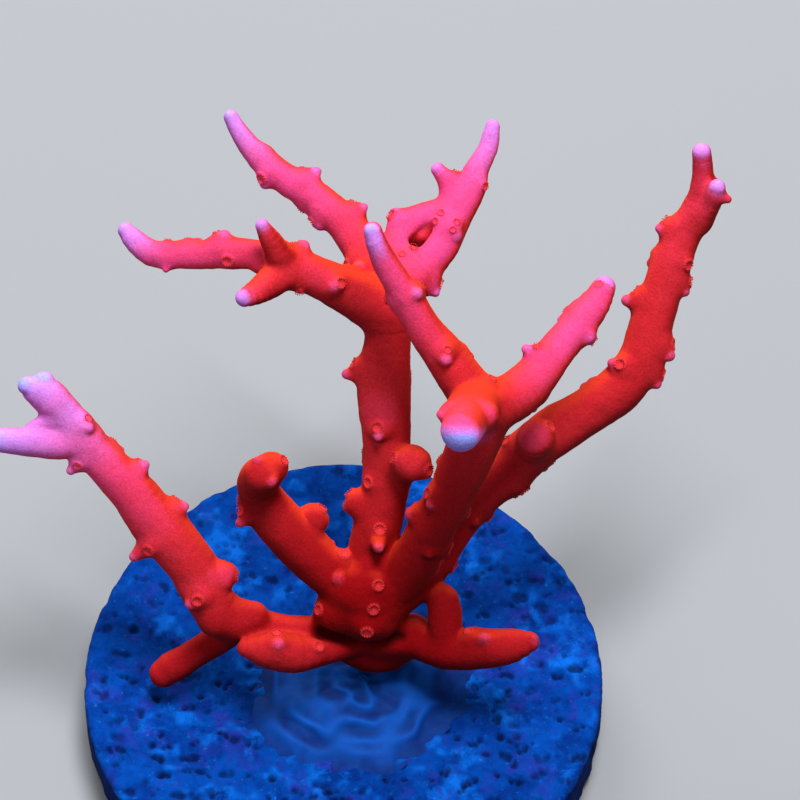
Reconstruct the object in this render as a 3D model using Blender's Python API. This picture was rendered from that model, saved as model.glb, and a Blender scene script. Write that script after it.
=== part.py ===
"""A frag of branching Anacropora coral, glued to a round ceramic disc.

The colony stands on one foot in a low mound of glue in the middle of the disc.
It is split at its main forks, one object for each branch, and a branch keeps its
own short side shoots and the lumps of its corallites.

Lengths here are millimetres, and MM turns them into metres. The origin is the
centre of the disc's flat underside, +X runs to the right, +Y runs away from the
side that the colony turns to the viewer, and +Z is up.
"""
import math
import random
from dataclasses import dataclass

import bmesh
import bpy
from mathutils import Vector

MM = 0.001

# Gap kept between neighbours that grow together or are glued
GAP = 0.3

# Frag disc
DISC_DIAMETER = 30.0
DISC_THICKNESS = 4.0
DISC_TOP_CHAMFER = 0.45
DISC_BOTTOM_CHAMFER = 0.8
DISC_SIDES = 48
RIM_WEAR = 0.12
PIT_COUNT = 20
PIT_RADII = (0.3, 0.55)
PIT_DEPTH = 0.4
PIT_SPACING = 2.0
PIT_SIDES = 6

# Glue mound
GLUE_CENTRE = (1.0, -0.5)
GLUE_RADIUS = 6.2
GLUE_HEIGHT = 1.25
GLUE_SIDES = 26
GLUE_RINGS = 5

# Branches
RING_SPACING = 1.35
SIDES = 9
TIP_RINGS = ((0.5, 0.84), (0.84, 0.5))

# Lumps of the corallites
NUB_RADIUS = 0.5
NUB_HEIGHT = 0.4
NUB_ROOT = 0.5
NUB_SIDES = 6
NUB_SHOULDER = (0.5, 0.8)

# The side of the colony that the viewer doesn't see has lumps at an even step
AWAY = Vector((0.0, 0.56, -0.83))
FAR_NUB_STEP = 4.7
FAR_NUB_MARGIN = 2.2
FAR_NUB_TURN = math.radians(48.0)


@dataclass(frozen=True)
class Branch:
    """One branch: its stems as (x, y, z, radius), and the tops of its lumps as (x, y, z)."""

    stems: tuple
    nubs: tuple
    material: str
    far_nubs: bool = True
    flat_foot: bool = False


BRANCHES = {
    "trunk": Branch(
        stems=(
            ((2.4, 1.0, 4.9, 1.45), (2.2, 0.8, 6.6, 1.5), (1.9, 0.7, 8.2, 1.9),
             (1.4, 0.9, 9.8, 2.25), (1.2, 1.7, 11.0, 2.15)),
            ((0.9, 1.0, 9.8, 1.5), (-0.3, 0.9, 10.0, 1.35), (-0.95, 0.8, 10.3, 1.1)),
        ),
        nubs=((-1.4, -0.2, 11.2), (2.1, 0.7, 13.1), (1.8, -0.6, 12.1), (1.4, -1.6, 10.9)),
        material="coral_red",
        far_nubs=False,
        flat_foot=True,
    ),
    "middle_stem": Branch(
        stems=(
            ((1.4, 1.9, 11.0, 1.6), (1.7, 3.4, 12.6, 1.38), (2.1, 4.7, 14.0, 1.36),
             (2.5, 6.2, 15.6, 1.33), (2.5, 7.6, 17.3, 1.37), (2.35, 9.1, 19.1, 1.5),
             (2.4, 10.4, 20.7, 1.44), (2.6, 11.4, 21.9, 1.3), (2.6, 12.4, 23.0, 1.5)),
            ((2.8, 6.6, 15.2, 0.9), (3.5, 6.1, 17.0, 1.0), (3.9, 5.6, 18.1, 0.98)),
        ),
        nubs=((0.3, 5.2, 14.6), (0.1, 10.2, 20.5), (2.0, 6.9, 19.0), (1.4, 5.3, 16.4),
              (1.8, 2.9, 14.6), (2.7, 5.6, 18.6), (5.0, 4.9, 17.8)),
        material="coral_red",
    ),
    "left_stub": Branch(
        stems=(
            ((0.6, 1.7, 10.9, 1.45), (-1.3, 2.7, 12.1, 1.36), (-2.8, 3.6, 13.4, 1.36),
             (-4.1, 4.4, 14.8, 1.32), (-4.65, 4.85, 16.2, 1.22), (-4.5, 5.0, 17.8, 1.12)),
        ),
        nubs=((-3.4, 5.8, 18.4), (-4.6, 5.7, 19.0), (-3.6, 4.1, 18.6), (-6.0, 4.0, 14.8),
              (-1.3, 4.7, 14.1), (-0.3, 1.8, 13.3)),
        material="coral_red",
    ),
    "front_stem": Branch(
        stems=(
            ((2.4, 1.5, 10.8, 1.5), (3.3, 1.9, 11.8, 1.36), (4.3, 2.4, 13.6, 1.3),
             (5.2, 3.0, 15.7, 1.29), (6.2, 3.7, 17.9, 1.29), (7.0, 4.5, 20.0, 1.4),
             (7.7, 5.3, 22.0, 1.5), (8.0, 5.8, 23.1, 1.55)),
        ),
        nubs=((5.0, 2.6, 18.3), (4.9, 1.2, 15.1), (3.7, 3.5, 16.3)),
        material="coral_red",
    ),
    "right_branch": Branch(
        stems=(
            ((2.4, 1.4, 10.2, 1.48), (3.6, 2.2, 10.4, 1.36), (4.8, 3.3, 11.1, 1.28),
             (5.9, 4.5, 12.0, 1.25), (6.9, 5.6, 13.0, 1.25), (8.2, 6.5, 13.95, 1.26),
             (9.6, 7.2, 14.9, 1.31), (10.8, 7.9, 16.0, 1.38), (11.9, 8.4, 16.8, 1.42),
             (13.2, 9.0, 17.4, 1.36), (14.5, 9.5, 18.1, 1.34), (15.75, 10.2, 18.8, 1.36),
             (16.8, 11.3, 19.8, 1.27), (17.7, 13.6, 21.6, 1.17), (18.6, 15.7, 23.4, 1.1),
             (19.3, 16.9, 24.6, 1.03), (19.9, 17.6, 25.5, 0.92), (20.2, 18.2, 26.7, 0.68),
             (20.2, 18.7, 27.7, 0.59), (20.1, 19.1, 28.7, 0.58)),
            ((10.8, 7.7, 15.9, 1.1), (10.9, 7.2, 17.7, 1.07), (10.9, 7.0, 18.5, 1.0)),
            ((20.0, 17.1, 25.2, 0.9), (20.6, 17.3, 26.5, 0.72), (21.0, 17.4, 27.5, 0.52)),
        ),
        nubs=((10.5, 5.9, 14.2), (6.6, 2.9, 10.9), (9.4, 8.1, 16.9), (15.1, 11.0, 20.4),
              (15.9, 14.1, 21.9), (17.7, 17.1, 24.7), (19.6, 15.1, 24.2), (19.7, 14.3, 22.3),
              (18.6, 11.3, 20.2), (18.0, 10.0, 19.0), (20.9, 18.4, 27.4)),
        material="coral_red",
    ),
    "crown_left_branch": Branch(
        stems=(
            ((2.4, 12.4, 23.0, 1.4), (1.0, 12.7, 24.1, 1.34), (-0.2, 12.8, 25.0, 1.23),
             (-1.5, 12.95, 25.8, 1.17), (-2.6, 13.1, 26.3, 1.1), (-3.5, 13.4, 26.6, 0.92),
             (-4.6, 13.8, 26.6, 0.79), (-5.7, 14.0, 26.5, 0.82), (-6.7, 14.15, 26.3, 0.88),
             (-7.8, 14.15, 26.1, 0.81), (-10.0, 14.4, 25.7, 0.74), (-11.0, 14.85, 25.8, 0.67),
             (-11.7, 15.35, 26.1, 0.59), (-12.05, 15.7, 26.3, 0.46)),
            ((-3.0, 12.8, 26.4, 0.83), (-3.5, 13.1, 27.8, 0.77), (-4.0, 13.45, 28.9, 0.66),
             (-4.3, 13.7, 29.5, 0.48)),
            ((-2.95, 12.7, 26.4, 0.85), (-3.9, 11.9, 26.6, 0.93), (-4.7, 11.1, 26.8, 0.8),
             (-5.3, 10.6, 27.0, 0.61)),
        ),
        nubs=((-1.9, 14.4, 27.2), (-6.6, 15.1, 27.1), (-0.3, 11.9, 26.5), (-6.4, 13.3, 27.3),
              (-9.8, 13.3, 25.5)),
        material="coral_pink",
    ),
    "crown_back_left_branch": Branch(
        stems=(
            ((2.4, 13.6, 23.3, 1.4), (1.6, 15.6, 23.5, 1.21), (0.8, 17.1, 23.7, 1.1),
             (-0.35, 18.4, 24.1, 0.99), (-1.6, 19.4, 24.4, 0.91), (-3.0, 20.2, 24.75, 0.85),
             (-4.2, 21.1, 25.2, 0.76), (-5.3, 22.0, 25.8, 0.59), (-5.9, 22.65, 26.4, 0.48),
             (-6.3, 23.2, 26.9, 0.4)),
        ),
        nubs=((-1.5, 20.6, 25.2), (1.4, 18.6, 24.6), (-4.3, 19.9, 24.4), (-1.4, 17.7, 23.6)),
        material="coral_pink",
    ),
    "crown_back_right_branch": Branch(
        stems=(
            ((2.7, 13.2, 23.0, 1.5), (3.5, 14.6, 23.0, 1.48), (4.5, 15.7, 23.05, 1.3),
             (5.6, 16.9, 23.4, 1.13), (6.3, 18.4, 24.0, 1.07), (7.1, 19.7, 24.6, 0.96),
             (7.7, 20.8, 25.3, 0.71), (8.2, 21.65, 25.8, 0.62), (8.4, 22.3, 26.3, 0.52),
             (8.5, 22.7, 26.6, 0.41)),
            ((3.2, 15.2, 23.2, 1.13), (3.3, 16.9, 23.6, 1.02), (3.8, 17.9, 23.9, 0.85),
             (5.0, 18.4, 24.0, 0.8), (6.2, 18.8, 24.2, 0.79)),
            ((6.4, 19.3, 24.5, 0.79), (5.9, 20.0, 25.2, 0.55), (5.4, 20.4, 25.7, 0.42)),
        ),
        nubs=((2.8, 18.4, 24.4), (6.4, 20.5, 25.7), (5.4, 17.8, 25.0), (6.6, 17.1, 24.9),
              (3.4, 15.3, 24.8), (5.4, 14.1, 22.5)),
        material="coral_pink",
    ),
    "front_stub": Branch(
        stems=(
            ((7.7, 6.0, 23.2, 1.45), (7.3, 4.9, 24.5, 1.38), (6.9, 3.2, 26.0, 1.24),
             (6.6, 1.5, 27.4, 1.14)),
        ),
        nubs=((5.4, 3.8, 26.2),),
        material="coral_tip",
        far_nubs=False,
    ),
    "front_left_branch": Branch(
        stems=(
            ((7.7, 6.1, 23.3, 1.38), (6.5, 7.1, 24.5, 1.22), (5.6, 8.0, 25.5, 1.1),
             (4.6, 8.8, 26.6, 1.02), (3.8, 9.6, 27.8, 0.99), (3.05, 10.4, 28.9, 0.92),
             (2.4, 11.1, 29.9, 0.82), (1.95, 11.65, 30.9, 0.68), (1.8, 12.0, 31.4, 0.57)),
        ),
        nubs=((5.8, 6.9, 26.5), (4.3, 9.6, 29.0)),
        material="coral_pink",
    ),
    "front_right_branch": Branch(
        stems=(
            ((8.2, 5.9, 23.1, 1.5), (9.6, 6.7, 23.1, 1.38), (10.9, 8.0, 23.4, 1.2),
             (11.9, 9.3, 23.65, 1.09), (12.9, 10.5, 23.9, 1.03), (13.8, 11.7, 24.1, 0.92),
             (14.4, 12.6, 24.2, 0.73), (14.7, 13.2, 24.35, 0.59)),
        ),
        nubs=((8.1, 6.6, 24.9), (10.2, 9.3, 24.2), (14.4, 12.7, 25.2), (13.9, 9.9, 23.4)),
        material="coral_pink",
    ),
    "left_runner": Branch(
        stems=(
            ((0.6, 0.4, 8.7, 1.05), (-1.4, 0.3, 8.6, 0.98), (-3.0, 0.3, 8.8, 0.97),
             (-4.6, 0.4, 9.1, 1.06), (-5.6, 0.5, 9.3, 1.1)),
        ),
        nubs=(),
        material="coral_red",
        far_nubs=False,
    ),
    "left_branch": Branch(
        stems=(
            ((-6.1, 0.6, 9.4, 1.35), (-7.4, 1.4, 10.7, 1.52), (-8.6, 2.6, 12.2, 1.48),
             (-9.8, 3.6, 13.4, 1.47), (-10.9, 4.5, 14.5, 1.4), (-11.8, 5.2, 15.5, 1.27),
             (-12.75, 5.9, 16.4, 1.19), (-13.7, 6.6, 17.2, 1.13), (-14.5, 7.2, 18.0, 1.09),
             (-15.4, 8.0, 19.0, 1.02), (-16.2, 8.6, 19.8, 1.0), (-16.7, 9.0, 20.4, 0.82),
             (-16.7, 9.25, 20.7, 0.62)),
            ((-6.1, 0.6, 9.5, 1.1), (-7.2, 0.3, 10.0, 1.02)),
            ((-16.3, 8.6, 19.9, 0.84), (-17.2, 8.85, 20.4, 0.68), (-17.6, 8.95, 20.8, 0.5)),
        ),
        nubs=((-14.2, 7.3, 19.6), (-15.4, 5.7, 16.9), (-11.0, 6.5, 16.6), (-8.8, 5.1, 14.6),
              (-11.9, 2.5, 12.9), (-8.7, 0.2, 11.5), (-6.2, 2.6, 11.7)),
        material="coral_pink",
    ),
    "left_outer_tip": Branch(
        stems=(
            ((-14.5, 7.2, 18.0, 1.05), (-15.8, 6.85, 18.1, 0.9), (-17.1, 6.7, 18.4, 0.87),
             (-18.4, 6.55, 18.8, 0.81), (-19.6, 6.5, 19.1, 0.67), (-20.4, 6.55, 19.4, 0.5)),
        ),
        nubs=((-17.3, 7.7, 19.2),),
        material="coral_tip",
    ),
    "front_finger": Branch(
        stems=(
            ((0.6, 0.0, 8.1, 0.95), (-0.4, -0.4, 8.1, 0.92), (-1.4, -0.9, 8.3, 0.92),
             (-2.3, -1.2, 8.6, 1.08), (-3.3, -1.3, 8.9, 1.17), (-4.5, -1.3, 9.2, 0.94),
             (-5.4, -1.25, 9.3, 0.56)),
        ),
        nubs=((-3.6, -1.3, 10.5), (-1.3, -1.3, 9.6)),
        material="coral_red",
        far_nubs=False,
    ),
    "low_left_finger": Branch(
        stems=(
            ((-6.2, 0.5, 8.7, 0.88), (-7.0, 0.3, 7.9, 0.83), (-7.9, 0.1, 7.2, 0.82),
             (-8.9, -0.2, 6.5, 0.86), (-9.8, -0.5, 5.95, 0.92), (-10.3, -0.7, 5.6, 0.83)),
        ),
        nubs=(),
        material="coral_red",
        far_nubs=False,
    ),
    "right_finger": Branch(
        stems=(
            ((2.2, 0.5, 7.8, 1.4), (4.1, 0.2, 8.0, 1.2), (5.0, -0.3, 7.95, 1.05),
             (5.9, -0.75, 8.1, 1.03), (7.1, -0.9, 8.5, 1.14), (8.4, -1.05, 9.0, 1.11),
             (9.6, -1.05, 9.3, 0.97), (10.6, -1.0, 9.6, 0.62)),
        ),
        nubs=((8.0, -1.0, 10.4),),
        material="coral_red",
        far_nubs=False,
    ),
    "right_finger_stub": Branch(
        stems=(
            ((5.9, -0.6, 8.2, 0.97), (5.8, 0.1, 9.1, 0.97), (5.75, 0.8, 9.85, 0.97),
             (5.7, 1.3, 10.4, 0.9)),
        ),
        nubs=(),
        material="coral_red",
        far_nubs=False,
    ),
}

# Colour as sRGB, roughness
MATERIALS = {
    "coral_red": ((0.80, 0.10, 0.08), 0.6),
    "coral_pink": ((0.93, 0.24, 0.36), 0.6),
    "coral_tip": ((0.90, 0.62, 0.95), 0.55),
    "glue_blue": ((0.20, 0.42, 0.86), 0.45),
    "disc_blue": ((0.06, 0.24, 0.58), 0.85),
}


def clear_scene():
    """Remove every object that the file opened with."""
    for obj in list(bpy.data.objects):
        bpy.data.objects.remove(obj)


def linear(channel):
    """Turn one sRGB channel to linear."""
    return channel / 12.92 if channel <= 0.04045 else ((channel + 0.055) / 1.055) ** 2.4


def make_materials():
    """Make one Principled material for each finish."""
    made = {}
    for name, (colour, roughness) in MATERIALS.items():
        material = bpy.data.materials.new(name)
        material.use_nodes = True
        shader = material.node_tree.nodes["Principled BSDF"]
        shader.inputs["Base Color"].default_value = (*map(linear, colour), 1.0)
        shader.inputs["Roughness"].default_value = roughness
        shader.inputs["Metallic"].default_value = 0.0
        made[name] = material
    return made


def new_object(name, mesh_data):
    """Turn a bmesh into an object of the scene."""
    bmesh.ops.recalc_face_normals(mesh_data, faces=mesh_data.faces)
    mesh = bpy.data.meshes.new(name)
    mesh_data.to_mesh(mesh)
    mesh_data.free()
    obj = bpy.data.objects.new(name, mesh)
    bpy.context.scene.collection.objects.link(obj)
    return obj


def combine(obj, other, operation):
    """Join, or cut away, another object for good, and remove that object."""
    modifier = obj.modifiers.new("combine", "BOOLEAN")
    modifier.operation = operation
    modifier.solver = "EXACT"
    modifier.object = other
    graph = bpy.context.evaluated_depsgraph_get()
    mesh = bpy.data.meshes.new_from_object(obj.evaluated_get(graph))
    obj.modifiers.remove(modifier)
    spent = (obj.data, other.data)
    obj.data = mesh
    bpy.data.objects.remove(other)
    for old in spent:
        bpy.data.meshes.remove(old)


def catmull_rom(before, start, end, after, amount):
    """A point of the smooth curve from start to end."""
    return tuple(
        0.5 * (2.0 * b + (c - a) * amount + (2.0 * a - 5.0 * b + 4.0 * c - d) * amount ** 2
               + (3.0 * b - a - 3.0 * c + d) * amount ** 3)
        for a, b, c, d in zip(before, start, end, after)
    )


def mirrored(point, about):
    """The point reflected in another, to end a curve evenly."""
    return tuple(2.0 * b - a for a, b in zip(point, about))


def smooth_path(points, spacing):
    """Centres and radii on a smooth curve through the points, at about the spacing."""
    padded = [mirrored(points[1], points[0]), *points, mirrored(points[-2], points[-1])]
    path = []
    for before, start, end, after in zip(padded, padded[1:], padded[2:], padded[3:]):
        length = (Vector(end[:3]) - Vector(start[:3])).length
        steps = max(1, round(length / spacing))
        for step in range(steps):
            path.append(catmull_rom(before, start, end, after, step / steps))
    path.append(points[-1])
    return [(Vector(point[:3]), point[3]) for point in path]


def tangents(path):
    """The unit direction of the path at each of its points."""
    last = len(path) - 1
    return [
        (path[min(i + 1, last)][0] - path[max(i - 1, 0)][0]).normalized()
        for i in range(last + 1)
    ]


def ring(mesh_data, centre, radius, across, up, sides):
    """A ring of vertices about a centre."""
    made = []
    for side in range(sides):
        angle = 2.0 * math.pi * side / sides
        offset = across * math.cos(angle) + up * math.sin(angle)
        made.append(mesh_data.verts.new((centre + offset * radius) * MM))
    return made


def skin(mesh_data, rings, tip=None):
    """Close a row of rings into a solid, with a flat start and a flat or pointed end."""
    for lower, upper in zip(rings, rings[1:]):
        for i, corner in enumerate(lower):
            j = (i + 1) % len(lower)
            mesh_data.faces.new((corner, lower[j], upper[j], upper[i]))
    mesh_data.faces.new(list(reversed(rings[0])))
    if tip is None:
        mesh_data.faces.new(rings[-1])
        return
    end = rings[-1]
    for i, corner in enumerate(end):
        mesh_data.faces.new((corner, end[(i + 1) % len(end)], tip))


def stem_solid(name, points, grow=0.0, level_foot=False):
    """A tapered stem with a round tip, grown outwards by a gap where it is a cutter."""
    path = smooth_path(points, RING_SPACING)
    directions = tangents(path)
    if level_foot:
        directions[0] = Vector((0.0, 0.0, 1.0))
    mesh_data = bmesh.new()
    rings = []
    across = directions[0].orthogonal().normalized()
    for i, ((centre, radius), along) in enumerate(zip(path, directions)):
        across = (across - along * across.dot(along)).normalized()
        up = along.cross(across)
        start = along * grow if i == 0 else Vector()
        rings.append(ring(mesh_data, centre - start, radius + grow, across, up, SIDES))
    tip_radius = path[-1][1] + grow
    for forward, narrow in TIP_RINGS:
        centre = path[-1][0] + along * tip_radius * forward
        rings.append(ring(mesh_data, centre, tip_radius * narrow, across, up, SIDES))
    tip = mesh_data.verts.new((path[-1][0] + along * tip_radius) * MM)
    skin(mesh_data, rings, tip)
    return new_object(name, mesh_data)


def nearest_on(stems, point):
    """The point of the branch's centre lines, and its radius, nearest to a point."""
    best = None
    for stem in stems:
        for centre, radius in smooth_path(stem, RING_SPACING / 4.0):
            depth = (point - centre).length - radius
            if best is None or depth < best[0]:
                best = (depth, centre, radius)
    return best


def nub_solid(name, stems, top, grow=0.0):
    """A rounded cone that stands on the skin under its top."""
    height, centre, radius = nearest_on(stems, top)
    out = (top - centre).normalized()
    height = max(height, NUB_HEIGHT) + grow
    skin_point = centre + out * radius
    across = out.orthogonal().normalized()
    up = out.cross(across)
    wide = NUB_RADIUS + grow
    mesh_data = bmesh.new()
    rise, narrow = NUB_SHOULDER
    root = ring(mesh_data, skin_point - out * NUB_ROOT, wide, across, up, NUB_SIDES)
    shoulder = ring(mesh_data, skin_point + out * height * rise, wide * narrow,
                    across, up, NUB_SIDES)
    tip = mesh_data.verts.new((skin_point + out * height) * MM)
    skin(mesh_data, [root, shoulder], tip)
    return new_object(name, mesh_data)


def far_side_tops(stem):
    """Tops of lumps at an even step along the side that faces away, left and right by turns."""
    path = smooth_path(stem, RING_SPACING / 4.0)
    directions = tangents(path)
    length = sum((b[0] - a[0]).length for a, b in zip(path, path[1:]))
    tops = []
    walked = 0.0
    due = FAR_NUB_MARGIN
    for (before, _), (centre, radius), along in zip(path, path[1:], directions[1:]):
        walked += (centre - before).length
        if walked < due or walked > length - FAR_NUB_MARGIN:
            continue
        due += FAR_NUB_STEP
        away = (AWAY - along * AWAY.dot(along)).normalized()
        side = along.cross(away)
        turn = FAR_NUB_TURN if len(tops) % 2 else -FAR_NUB_TURN
        out = away * math.cos(turn) + side * math.sin(turn)
        tops.append(centre + out * (radius + NUB_HEIGHT))
    return tops


def branch_solid(name, branch, grow=0.0):
    """The whole branch in one solid: stems, side shoots and lumps."""
    first, *others = branch.stems
    solid = stem_solid(name, first, grow, branch.flat_foot)
    for points in others:
        combine(solid, stem_solid("shoot", points, grow), "UNION")
    tops = [Vector(top) for top in branch.nubs]
    if branch.far_nubs:
        tops += far_side_tops(first)
    for top in tops:
        combine(solid, nub_solid("nub", branch.stems, top, grow), "UNION")
    return solid


def meets(one, two):
    """Whether two branches come closer than the gap and the height of their lumps."""
    reach = GAP + 2.0 * NUB_HEIGHT
    for stem in one.stems:
        for centre, radius in smooth_path(stem, RING_SPACING):
            if nearest_on(two.stems, centre)[0] < radius + reach:
                return True
    return False


def keep_largest(obj):
    """Delete the crumbs that a cut leaves beside the main body."""
    mesh_data = bmesh.new()
    mesh_data.from_mesh(obj.data)
    groups = []
    unseen = set(mesh_data.verts)
    while unseen:
        queue = [unseen.pop()]
        group = set(queue)
        while queue:
            for edge in queue.pop().link_edges:
                for vert in edge.verts:
                    if vert in unseen:
                        unseen.discard(vert)
                        group.add(vert)
                        queue.append(vert)
        groups.append(group)
    groups.sort(key=len)
    for group in groups[:-1]:
        bmesh.ops.delete(mesh_data, geom=list(group), context="VERTS")
    mesh_data.to_mesh(obj.data)
    mesh_data.free()


def finish(obj, material):
    """Shade the object smooth and give it its material."""
    obj.data.materials.clear()
    obj.data.materials.append(material)
    obj.data.shade_smooth()
    obj.data.set_sharp_from_angle(angle=math.radians(50.0))


def make_branches(materials):
    """Make each branch, cut clear of those before it that it meets."""
    before = []
    for name, branch in BRANCHES.items():
        solid = branch_solid(name, branch)
        for other_name in before:
            other = BRANCHES[other_name]
            if meets(branch, other):
                combine(solid, branch_solid("clearance", other, GAP), "DIFFERENCE")
        keep_largest(solid)
        finish(solid, materials[branch.material])
        before.append(name)


def disc_ring(mesh_data, radius, height, wear):
    """One ring of the disc, with its rim worn unevenly."""
    made = []
    for side in range(DISC_SIDES):
        angle = 2.0 * math.pi * side / DISC_SIDES
        worn = radius - wear * (0.5 + 0.5 * math.sin(5.0 * angle + 0.7) * math.cos(8.0 * angle))
        made.append(mesh_data.verts.new(
            (worn * math.cos(angle) * MM, worn * math.sin(angle) * MM, height * MM)))
    return made


def pit_places():
    """Places of the pits on the disc's top, clear of the rim, the glue and each other."""
    rng = random.Random(30)
    places = []
    rim = DISC_DIAMETER / 2.0 - DISC_TOP_CHAMFER - 2.0 * PIT_RADII[1]
    while len(places) < PIT_COUNT:
        x = rng.uniform(-rim, rim)
        y = rng.uniform(-rim, rim)
        size = rng.uniform(*PIT_RADII)
        from_glue = math.hypot(x - GLUE_CENTRE[0], y - GLUE_CENTRE[1])
        crowded = any(math.hypot(x - px, y - py) < PIT_SPACING for px, py, _ in places)
        if math.hypot(x, y) < rim and from_glue > GLUE_RADIUS * 1.25 and not crowded:
            places.append((x, y, size))
    return places


def make_disc(material):
    """The round ceramic disc, with chamfered edges and a pitted top."""
    radius = DISC_DIAMETER / 2.0
    mesh_data = bmesh.new()
    rings = [
        disc_ring(mesh_data, radius - DISC_BOTTOM_CHAMFER, 0.0, 0.0),
        disc_ring(mesh_data, radius, DISC_BOTTOM_CHAMFER, RIM_WEAR),
        disc_ring(mesh_data, radius, DISC_THICKNESS - DISC_TOP_CHAMFER, RIM_WEAR),
        disc_ring(mesh_data, radius - DISC_TOP_CHAMFER, DISC_THICKNESS, RIM_WEAR),
    ]
    skin(mesh_data, rings)
    disc = new_object("frag_disc", mesh_data)
    pits = bmesh.new()
    across = Vector((1.0, 0.0, 0.0))
    up = Vector((0.0, 1.0, 0.0))
    for x, y, size in pit_places():
        floor = Vector((x, y, DISC_THICKNESS - PIT_DEPTH))
        above = Vector((x, y, DISC_THICKNESS + PIT_DEPTH))
        low = ring(pits, floor, size * 0.55, across, up, PIT_SIDES)
        high = ring(pits, above, size * 1.45, across, up, PIT_SIDES)
        skin(pits, [low, high])
    combine(disc, new_object("pits", pits), "DIFFERENCE")
    finish(disc, material)


def make_glue(material):
    """The low wavy mound of glue, with a socket round the coral's foot."""
    mesh_data = bmesh.new()
    bottom = DISC_THICKNESS + GAP
    rise = GLUE_HEIGHT - GAP
    rings = []
    for step in range(GLUE_RINGS):
        out = 1.0 - step / GLUE_RINGS
        made = []
        for side in range(GLUE_SIDES):
            angle = 2.0 * math.pi * side / GLUE_SIDES
            lobe = 1.0 + 0.09 * math.sin(2.0 * angle + 0.6) + 0.06 * math.cos(5.0 * angle)
            radius = GLUE_RADIUS * lobe * out
            fold = 1.0 + 0.16 * math.sin(3.0 * angle + 4.0 * out) * math.sin(math.pi * out)
            height = bottom + rise * fold * (1.0 - out ** 2) ** 0.7
            x = GLUE_CENTRE[0] + radius * math.cos(angle)
            y = GLUE_CENTRE[1] + radius * math.sin(angle)
            made.append(mesh_data.verts.new((x * MM, y * MM, height * MM)))
        rings.append(made)
    top = mesh_data.verts.new((GLUE_CENTRE[0] * MM, GLUE_CENTRE[1] * MM, (bottom + rise) * MM))
    skin(mesh_data, rings, top)
    glue = new_object("glue_pad", mesh_data)
    foot = stem_solid("foot", BRANCHES["trunk"].stems[0], GAP, True)
    combine(glue, foot, "DIFFERENCE")
    keep_largest(glue)
    finish(glue, material)


def main():
    """Build the coral, its glue and its disc."""
    clear_scene()
    materials = make_materials()
    make_disc(materials["disc_blue"])
    make_glue(materials["glue_blue"])
    make_branches(materials)


main()
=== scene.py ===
"""Looks of a frag of branching Anacropora coral, glued to a round ceramic disc.

The coral's skin is one smooth body, worked out from the same stems and lumps as the
CAD model, cut at the forks into one closed piece for each branch. Lengths here are
millimetres unless a name says otherwise, and MM turns them into metres.
"""
import logging
import math
import random
from collections.abc import Callable
from dataclasses import dataclass, field
from enum import Enum
from functools import partial

import bmesh
import bpy
import numpy as np
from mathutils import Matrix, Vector


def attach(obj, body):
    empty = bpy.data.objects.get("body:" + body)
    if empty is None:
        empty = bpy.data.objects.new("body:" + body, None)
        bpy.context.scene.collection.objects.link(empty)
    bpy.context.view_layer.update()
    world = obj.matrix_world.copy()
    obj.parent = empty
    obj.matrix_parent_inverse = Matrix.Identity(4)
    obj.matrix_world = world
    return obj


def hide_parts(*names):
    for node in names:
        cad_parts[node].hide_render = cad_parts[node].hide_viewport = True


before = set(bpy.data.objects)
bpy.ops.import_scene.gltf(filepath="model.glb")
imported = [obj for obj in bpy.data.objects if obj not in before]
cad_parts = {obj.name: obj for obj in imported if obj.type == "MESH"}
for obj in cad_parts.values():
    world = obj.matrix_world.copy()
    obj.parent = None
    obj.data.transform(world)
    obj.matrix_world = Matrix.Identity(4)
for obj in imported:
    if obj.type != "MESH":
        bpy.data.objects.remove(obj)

LOG = logging.getLogger("frag")
MM = 0.001
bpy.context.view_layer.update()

# Radius of the ring of a full-grown polyp, and how many tentacles stand on it
POLYP_RADIUS = 0.29
TENTACLES = 12
# How strongly every surface gives its own colour as light. It is a painted glow that
# lifts the shade, on the coral also standing for its fluorescence in blue light
PAINTED_GLOW = 0.05
# Factors of the hash behind the noise: one for each axis, the seed's and the last one
HASH_AXES = (73856093, 19349663, 83492791)
HASH_SEED = 2654435
HASH_MIX = 1274126177

# The side of the colony that the camera doesn't see
AWAY = np.array((0.0, 0.56, -0.83))
# The way up the picture, along which a polyp sits over its own lump. Skin high on the
# colony that faces this way is painted orange, as light that falls on it
UPHILL = np.array((0.0, 0.83, 0.56))
# The side where the tissue is painted pinkest and palest, as if a blue-violet lamp lit
# it, and the side a painted light comes from, away from which the skin is painted in shade
PAINTED_PINK_LIGHT_SIDE = np.array((-0.3, -0.45, 0.84))
LIT_SIDE = np.array((0.2, 0.42, 0.88))


class Slot(Enum):
    """The material slots of the frag's record."""

    DISC = "disc"
    GLUE = "glue"
    RED = "coral_red"
    PINK = "coral_pink"
    TIP = "coral_tip"


@dataclass(frozen=True)
class Branch:
    """One branch of the colony, as part of its skin.

    Stems are (x, y, z, radius), lumps are the tops of the spines under the polyps, and
    rings are the middles of the polyps, where a fourth number scales a small one.
    Grooves are (places, width, depth), where a place's fourth number is its share of
    the depth. Pink lists, for each stem, how pink it is at even steps from its start to
    its end, and tips how pale its end is, as (length, strength). The last row stands
    for all later stems. Where a tip grows paler along another line than its stem,
    pale_way points along it, and where only one side is pale, pale_side points to it.
    Only branches with far set have polyps behind.
    """

    slot: Slot
    stems: tuple
    lumps: tuple = ()
    rings: tuple = ()
    grooves: tuple = ()
    pink: tuple = ((0.1,),)
    tips: tuple = ((0.0, 0.0),)
    pale_way: tuple | None = None
    pale_side: tuple | None = None
    far: bool = True


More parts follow.
